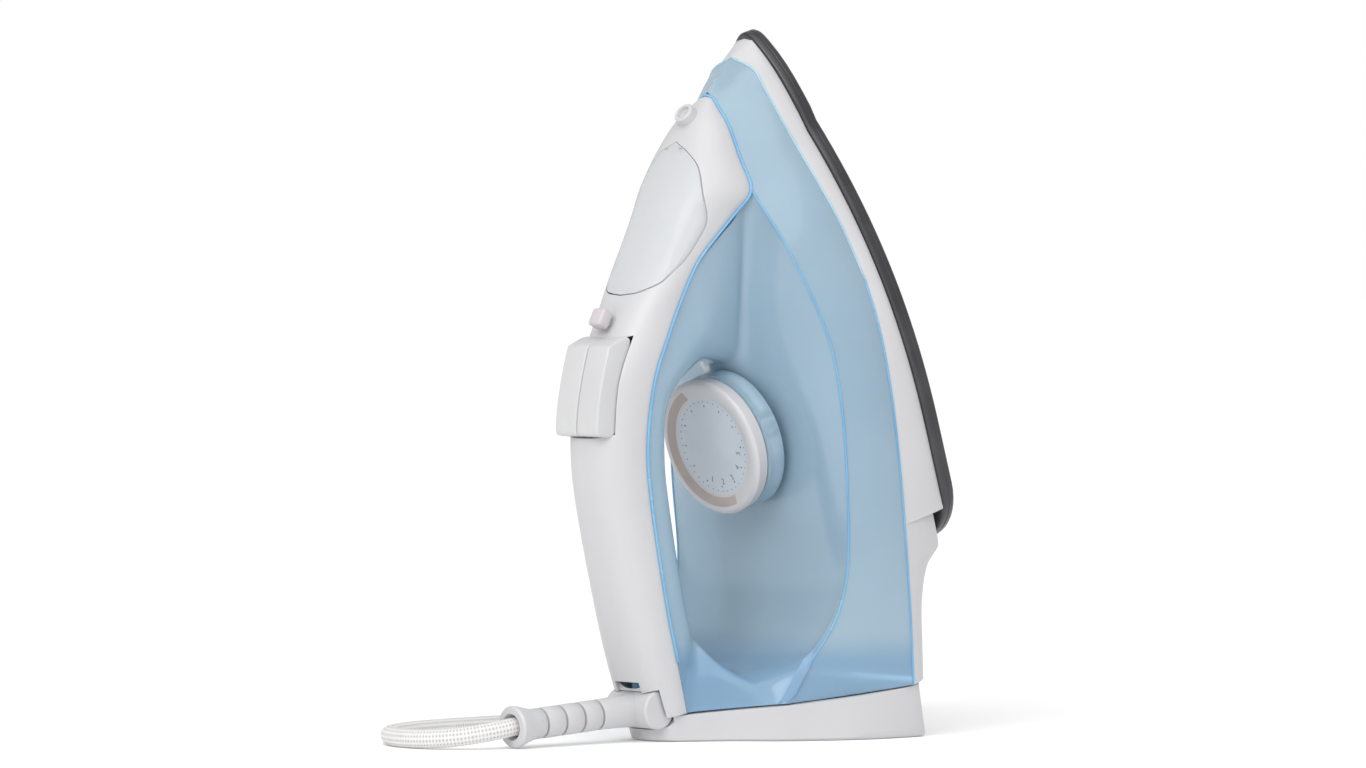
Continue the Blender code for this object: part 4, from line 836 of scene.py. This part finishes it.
# %% Two buttons, side by side
BUTTON_OUTLINE = [(-99.5, 109.5), (-98.6, 119.5), (-101.5, 122.8), (-116, 131.2), (-129, 136.6),
                  (-132.2, 135.0), (-132.8, 127.5), (-118, 120.5)]
button_line = refine([at(x, z) for x, z in BUTTON_OUTLINE], 4, closed=True)
push = TURN @ Vector((0.24, 0, -0.97)).normalized()
for name, side in (("spray_button", -1), ("steam_button", 1)):
    near, far = side * 0.25 * MM, side * 13.3 * MM
    low, high = min(near, far), max(near, far)
    button = prism(name + "_cap", button_line, low, high, "button_moulding", ACROSS)
    soften(button, 1.6 * MM, 4, 30)
    pump = at(-113, 124, side * 6.65) + push * 15.5 * MM
    cut(button, turned("pump_room", bar(5.7, -2, 12.5), pump, -push, "button_moulding", 48))
    dress(button, "spray_key" if side < 0 else "steam_key", "white", name)

# %% Steam lever and spray nozzle
lever_top = at(-93.2, 108.6)
lever_along = (at(-105, 120) - at(-85, 101)).normalized()
lever_out = Vector((lever_along.z, 0, -lever_along.x))
if lever_out.x > 0:
    lever_out = -lever_out


def block(name, centre, size, material, turn, round_by=0.0):
    """A box turned to the given axes, with rounded edges."""
    bm = bmesh.new()
    bmesh.ops.create_cube(bm, size=1.0)
    bmesh.ops.scale(bm, vec=Vector(size), verts=bm.verts)
    bmesh.ops.transform(bm, matrix=Matrix.Translation(centre) @ turn.to_4x4(), verts=bm.verts)
    mesh = bpy.data.meshes.new(name)
    bm.to_mesh(mesh)
    bm.free()
    piece = placed(name, mesh)
    mesh.materials.append(finishes[material])
    return soften(piece, round_by, 4, 30) if round_by else piece


lever_turn = Matrix((lever_along, ACROSS, lever_out)).transposed()
lever = block("steam_lever", lever_top + lever_out * 4.4 * MM, (7.5 * MM, 7.5 * MM, 5.6 * MM),
              "lever_grey", lever_turn, 1.2 * MM)
cut(lever, block("stem", lever_top - lever_out * 6.4 * MM, (2.4 * MM, 2.4 * MM, 18.5 * MM),
                 "lever_grey", lever_turn), "UNION")
dress(lever, "lever", "grey", "steam_lever")

nozzle_out = TURN @ Vector((0.80, 0, 0.60))
nozzle_base = at(-25.6, 44.5)
NOZZLE = mm([(0, 2.2), (0.5, 2.2), (0.9, 2.7), (2.6, 2.7), (2.9, 4.0), (3.9, 4.2), (4.4, 3.6),
             (4.4, -7.5), (0, -7.5)])
nozzle = turned("spray_nozzle", NOZZLE, nozzle_base, nozzle_out, "white_moulding", 64)
dress(nozzle, "root", "white", "spray_nozzle")

# %% [markdown]
# ## Temperature dial
# The dial is a raised rim round a shallow dish.  A taupe scale band and a ring of small dots
# are printed on it, with the numbers of the heat settings.

# %% Dial cap: rim, slope and dish
dial_base, dial_axis = DIAL_AT, OFF_SOLE
dial_side, dial_rise = Vector((0, -1, 0)), TURN @ Vector((1, 0, 0))
R, H = 28.5 * MM, 6.0 * MM
profile = [(0.0, H - 2.3 * MM), (R * 0.40, H - 2.3 * MM), (R * 0.66, H - 2.1 * MM),
           (R * 0.72, H - 1.9 * MM), (R * 0.75, H - 1.4 * MM), (R * 0.86, H - 0.35 * MM),
           (R * 0.90, H), (R * 0.94, H), (R * 0.975, H - 0.45 * MM), (R, H - 1.4 * MM),
           (R * 0.985, 0.0), (4.0 * MM, 0.0)]
dial = turned("dial_cap", profile, dial_base, dial_axis, "white_moulding", 120)
# The dish's faces get the bluish grey painted shade finish; the rim stays white.
dial.data.materials.append(finishes["dial_dish_painted_shade"])
for face in dial.data.polygons:
    if (face.center - dial_base).cross(dial_axis).length < R * 0.72 and \
            (face.center - dial_base).dot(dial_axis) > H * 0.5:
        face.material_index = 1


def on_dial(radius, turn, height):
    """A place on the dial: turn in degrees, anticlockwise from the right as it's looked at."""
    a = math.radians(turn)
    return dial_base + dial_axis * height + float(radius) * (math.cos(a) * dial_side
                                                             + math.sin(a) * dial_rise)


def slope(radius):
    return float(np.interp(radius, [r for r, _ in profile[:8]], [h for _, h in profile[:8]]))


band_rows = []
for radius in np.linspace(0.755, 0.885, 5) * R:
    band_rows.append([on_dial(radius, turn, slope(radius) + 0.06 * MM)
                      for turn in np.linspace(112, 292, 90)])
band = surface("scale_band", band_rows, "scale_taupe", inside=dial_base)

# %% [markdown]
# The dots are what repeats, so a small node tree makes them: a ring of points, a little disc
# on each, and the grey print on all of them.

# %% A node tree that prints a ring of dots
ring_tree = bpy.data.node_groups.new("ring_of_dots", "GeometryNodeTree")
sockets = {}
for label, kind, value in (("Dots", "NodeSocketInt", 36), ("Ring radius", "NodeSocketFloat", 0.019),
                           ("Dot radius", "NodeSocketFloat", 0.0003)):
    made_socket = ring_tree.interface.new_socket(label, in_out="INPUT", socket_type=kind)
    made_socket.default_value = value
    sockets[label] = made_socket.identifier
ring_tree.interface.new_socket("Mesh", in_out="OUTPUT", socket_type="NodeSocketGeometry")
enter = node(ring_tree, "NodeGroupInput")
leave = node(ring_tree, "NodeGroupOutput")
ring = node(ring_tree, "GeometryNodeMeshCircle")
dot = node(ring_tree, "GeometryNodeMeshCylinder", {"Vertices": 12, "Depth": 0.0001})
place_dots = node(ring_tree, "GeometryNodeInstanceOnPoints")
real = node(ring_tree, "GeometryNodeRealizeInstances")
ink = node(ring_tree, "GeometryNodeSetMaterial", {"Material": finishes["print_grey"]})
for source, name, target, socket in (
        (enter, "Dots", ring, "Vertices"), (enter, "Ring radius", ring, "Radius"),
        (enter, "Dot radius", dot, "Radius"), (ring, "Mesh", place_dots, "Points"),
        (dot, "Mesh", place_dots, "Instance"), (place_dots, "Instances", real, "Geometry"),
        (real, "Geometry", ink, "Geometry"), (ink, "Geometry", leave, "Mesh")):
    link(source, name, target, socket)


dial_turn = Matrix((dial_side, dial_rise, dial_axis)).transposed().to_4x4()


def ring_of_dots(count, radius, size, height):
    holder = placed("dots", bpy.data.meshes.new("dots"))
    nodes_modifier = holder.modifiers.new("ring", "NODES")
    nodes_modifier.node_group = ring_tree
    for label, value in (("Dots", count), ("Ring radius", radius), ("Dot radius", size)):
        nodes_modifier[sockets[label]] = value
    bpy.context.view_layer.update()
    settle(holder)
    holder.data.materials.clear()
    holder.data.materials.append(finishes["print_grey"])
    holder.data.polygons.foreach_set("material_index", [0] * len(holder.data.polygons))
    holder.data.transform(Matrix.Translation(dial_base + dial_axis * height) @ dial_turn)
    return holder


dots = ring_of_dots(40, R * 0.67, 0.28 * MM, slope(R * 0.67))
coarse = ring_of_dots(12, R * 0.60, 0.42 * MM, slope(R * 0.60))

# %% The numbers of the heat settings
numbers = []
for label, turn in (("1", 250), ("2", 275), ("3", 300), ("4", 325), ("5", 350)):
    text = bpy.data.curves.new("number_" + label, "FONT")
    text.body, text.size, text.align_x, text.align_y = label, 3.6 * MM, "CENTER", "CENTER"
    text.extrude = 0.03 * MM
    sign = placed("number_" + label, text)
    bpy.context.view_layer.update()
    mesh = bpy.data.meshes.new_from_object(
        sign.evaluated_get(bpy.context.evaluated_depsgraph_get()))
    bpy.data.objects.remove(sign, do_unlink=True)
    spin = Matrix.Rotation(math.radians(turn - 270), 4, "Z")
    mesh.transform(Matrix.Translation(on_dial(R * 0.53, turn, slope(R * 0.53) + 0.04 * MM))
                   @ dial_turn @ spin)
    mesh.materials.clear()
    mesh.materials.append(finishes["print_grey"])
    number = placed("number_" + label, mesh)
    numbers.append(number)
join(dial, band, dots, coarse, *numbers)
dial.data.set_sharp_from_angle(angle=CRISP)
dress(dial, "knob", "white", "dial")
collar = turned("dial_collar", [(4.0 * MM, -0.5 * MM), (R - 1.0 * MM, -0.5 * MM),
                                (R + 0.2 * MM, -1.3 * MM), (R + 0.5 * MM, -5.0 * MM),
                                (R + 0.5 * MM, -8.5 * MM), (R - 1.0 * MM, -9.5 * MM),
                                (4.0 * MM, -9.5 * MM)],
                dial_base, dial_axis, "tank_blue", 120)
dress(collar, "root", "blue", "dial_collar")

# %% [markdown]
# ## Heel cover and cord guard

# %% Heel cover
HEEL_FRONT = [(33, 0), (33, 44), (36, 53.5), (43, 57), (70, 54.5), (97, 42), (113, 27),
              (127, 17), (134.5, 12.8), (138.4, 6.5), (139.4, 0)]
HEEL_BACK = [(36, 0), (36, 45), (38.5, 53), (46, 55.5), (70, 53.5), (97, 41), (113, 26.5),
             (127, 17.2), (134.5, 12.8), (138.4, 6.5), (139.4, 0)]
front_half = [(-266.0 + (z - 43.0) * (14.5 / 84.0) - 0.3, z, y) for z, y in refine(HEEL_FRONT, 6)]
back_half = [(-290.3 + (z - 36.0) * (30.7 / 103.4), z, y) for z, y in refine(HEEL_BACK, 6)]
front_ring = np.array(both_sides([at(*p) for p in front_half]))
back_ring = np.array(both_sides([at(*p) for p in back_half]))
middle = np.array(at(-290.3 + (80 - 36.0) * (30.7 / 103.4), 80))
heel_rings = [front_ring + (back_ring - front_ring) * t
              for t in (0, 0.03, 0.2, 0.4, 0.6, 0.8, 0.93)]
for share, lift in ((0.004, 0.9), (0.012, 0.4), (0.028, 0.1), (0.05, 0.0), (0.3, 0.0), (1.0, 0.0)):
    ring = back_ring + (middle - back_ring) * share
    ring[:, 2] = lift * MM
    heel_rings.append(ring)
heel_cover = surface("heel_cover", heel_rings, "white_moulding", inside=at(-262, 80),
                     wall=WHITE_WALL, closed_columns=True)
settle(heel_cover)
barrel = Vector((-heel_line.length / 2 - 1.6 * MM, 0, 13.2 * MM))
for piece in (heel_cover, handle):
    cut(piece, turned("notch", bar(8.3, -14.2, 14.2), barrel, ACROSS, "white_moulding", 64))
    slot = [barrel + Vector((x, 0, z))
            for x, z in mm([(-16, -9.5), (-16, 11.0), (-4, 11.0), (-4, -9.5)])]
    cut(piece, prism("slot", slot, -7.5 * MM, 7.5 * MM, "white_moulding", ACROSS))
dress(heel_cover, "root", "white", "heel_cover")

# %% Cord guard: a ribbed, tapered sleeve on a barrel that swivels
guard_droop = math.radians(4.0)
guard_out = Vector((-math.cos(guard_droop), 0, -math.sin(guard_droop)))
guard_start, guard_end = 8.1 * MM, 66.1 * MM
profile = [(3.9 * MM, guard_end - 6 * MM), (4.0 * MM, guard_end - 3 * MM), (5.4 * MM, guard_end),
           (7.8 * MM, guard_end), (8.5 * MM, guard_end - 0.9 * MM),
           (8.3 * MM, guard_end - 2.5 * MM), (7.2 * MM, guard_end - 6 * MM),
           (6.2 * MM, guard_end - 10 * MM)]
for k in range(4):
    top = guard_end - 14 * MM - k * 9.5 * MM
    profile += [(6.15 * MM, top + 0.2 * MM), (6.0 * MM, top), (4.5 * MM, top - 0.1 * MM),
                (4.5 * MM, top - 1.0 * MM), (6.0 * MM, top - 1.1 * MM),
                (6.2 * MM, top - 1.5 * MM), (6.25 * MM, top - 5.0 * MM)]
profile += [(6.6 * MM, guard_start + 1 * MM), (7.4 * MM, 0.0), (0, 0.0)]
guard = turned("cord_guard", profile, barrel, guard_out, "white_moulding", 64)
BARREL = mm([(0, -13), (7.0, -13), (7.8, -12.3), (7.8, 12.3), (7.0, 13), (0, 13)])
guard_barrel = turned("guard_barrel", BARREL, barrel, ACROSS, "white_moulding", 64)
dress(guard, "guard", "white", "cord_guard")
dress(guard_barrel, "guard", "white", "guard_barrel")

# %% [markdown]
# ## The pieces inside
# What's inside shows faintly through the blue walls.  The CAD pieces stay where they are;
# each gets the finish of what it's made of.

# %% Finishes for the pieces that stay as they are
KEPT = {
    "spring_steel": ["burst_pump_piston", "burst_pump_spring", "spray_pump_piston",
                     "spray_pump_spring", "lid_hinge_pin", "valve_rod", "dial_shaft",
                     "thermostat", "thermal_fuse"],
    "cast_aluminium": ["steam_chamber", "chamber_cover", "heating_element"],
    "brass": ["plug_pin_left", "plug_pin_right", "valve_seat"],
    "white_moulding": ["burst_pump_body", "spray_pump_body", "terminal_block", "plug_body"],
    "inner_clear": ["burst_hose", "spray_hose", "tank_floor"],
    "black_rubber": ["inlet_seal", "live_wire", "neutral_wire"],
    "copper_wire": ["earth_wire"],
}
for name, nodes in KEPT.items():
    for each in nodes:
        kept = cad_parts[each]
        kept.data.materials.clear()
        kept.data.materials.append(finishes[name])
print(sum(len(nodes) for nodes in KEPT.values()), "CAD pieces finished")

# %% [markdown]
# ## Floor and light
# A pale floor and big soft lights: the picture has hardly a shadow in it.

# %% Floor
made, tree, shader = finish("pale_floor", (0.95, 0.95, 0.95), 0.8,
                            Emission_Color=(1, 1, 1, 1), Emission_Strength=0.10)
vary(tree, shader, 3.0, 0.75, 0.85)
bpy.ops.mesh.primitive_plane_add(size=60.0, location=(0, 0, 0))
floor = bpy.context.object
floor.name = "floor"
floor.data.materials.append(made)

world = bpy.data.worlds.new("studio")
bpy.context.scene.world = world
world.use_nodes = True
sky = world.node_tree.nodes["Background"]
sky.inputs["Color"].default_value = (1.0, 1.0, 1.0, 1.0)
seen = node(world.node_tree, "ShaderNodeLightPath")
bright = node(world.node_tree, "ShaderNodeMapRange", {"To Min": 0.62, "To Max": 1.0})
link(seen, "Is Camera Ray", bright, "Value")
link(bright, "Result", sky, "Strength")


def soft_light(name, place, aim, size, power):
    light = bpy.data.lights.new(name, "AREA")
    light.shape, light.size, light.energy = "DISK", size, power
    lamp = placed(name, light)
    lamp.location = place
    lamp.rotation_euler = (Vector(place) - Vector(aim)).to_track_quat("Z", "Y").to_euler()
    return lamp


soft_light("softbox_left", (-1.3, -0.6, 0.9), (0, 0, 0.15), 0.9, 7.0)
sun = bpy.data.lights.new("broad_light", "SUN")
sun.energy, sun.angle = 1.6, math.radians(80)
sun_lamp = placed("broad_light", sun)
sun_lamp.rotation_euler = Vector((-0.5, -0.55, 1.0)).to_track_quat("Z", "Y").to_euler()
bpy.context.scene.view_settings.view_transform = "Standard"
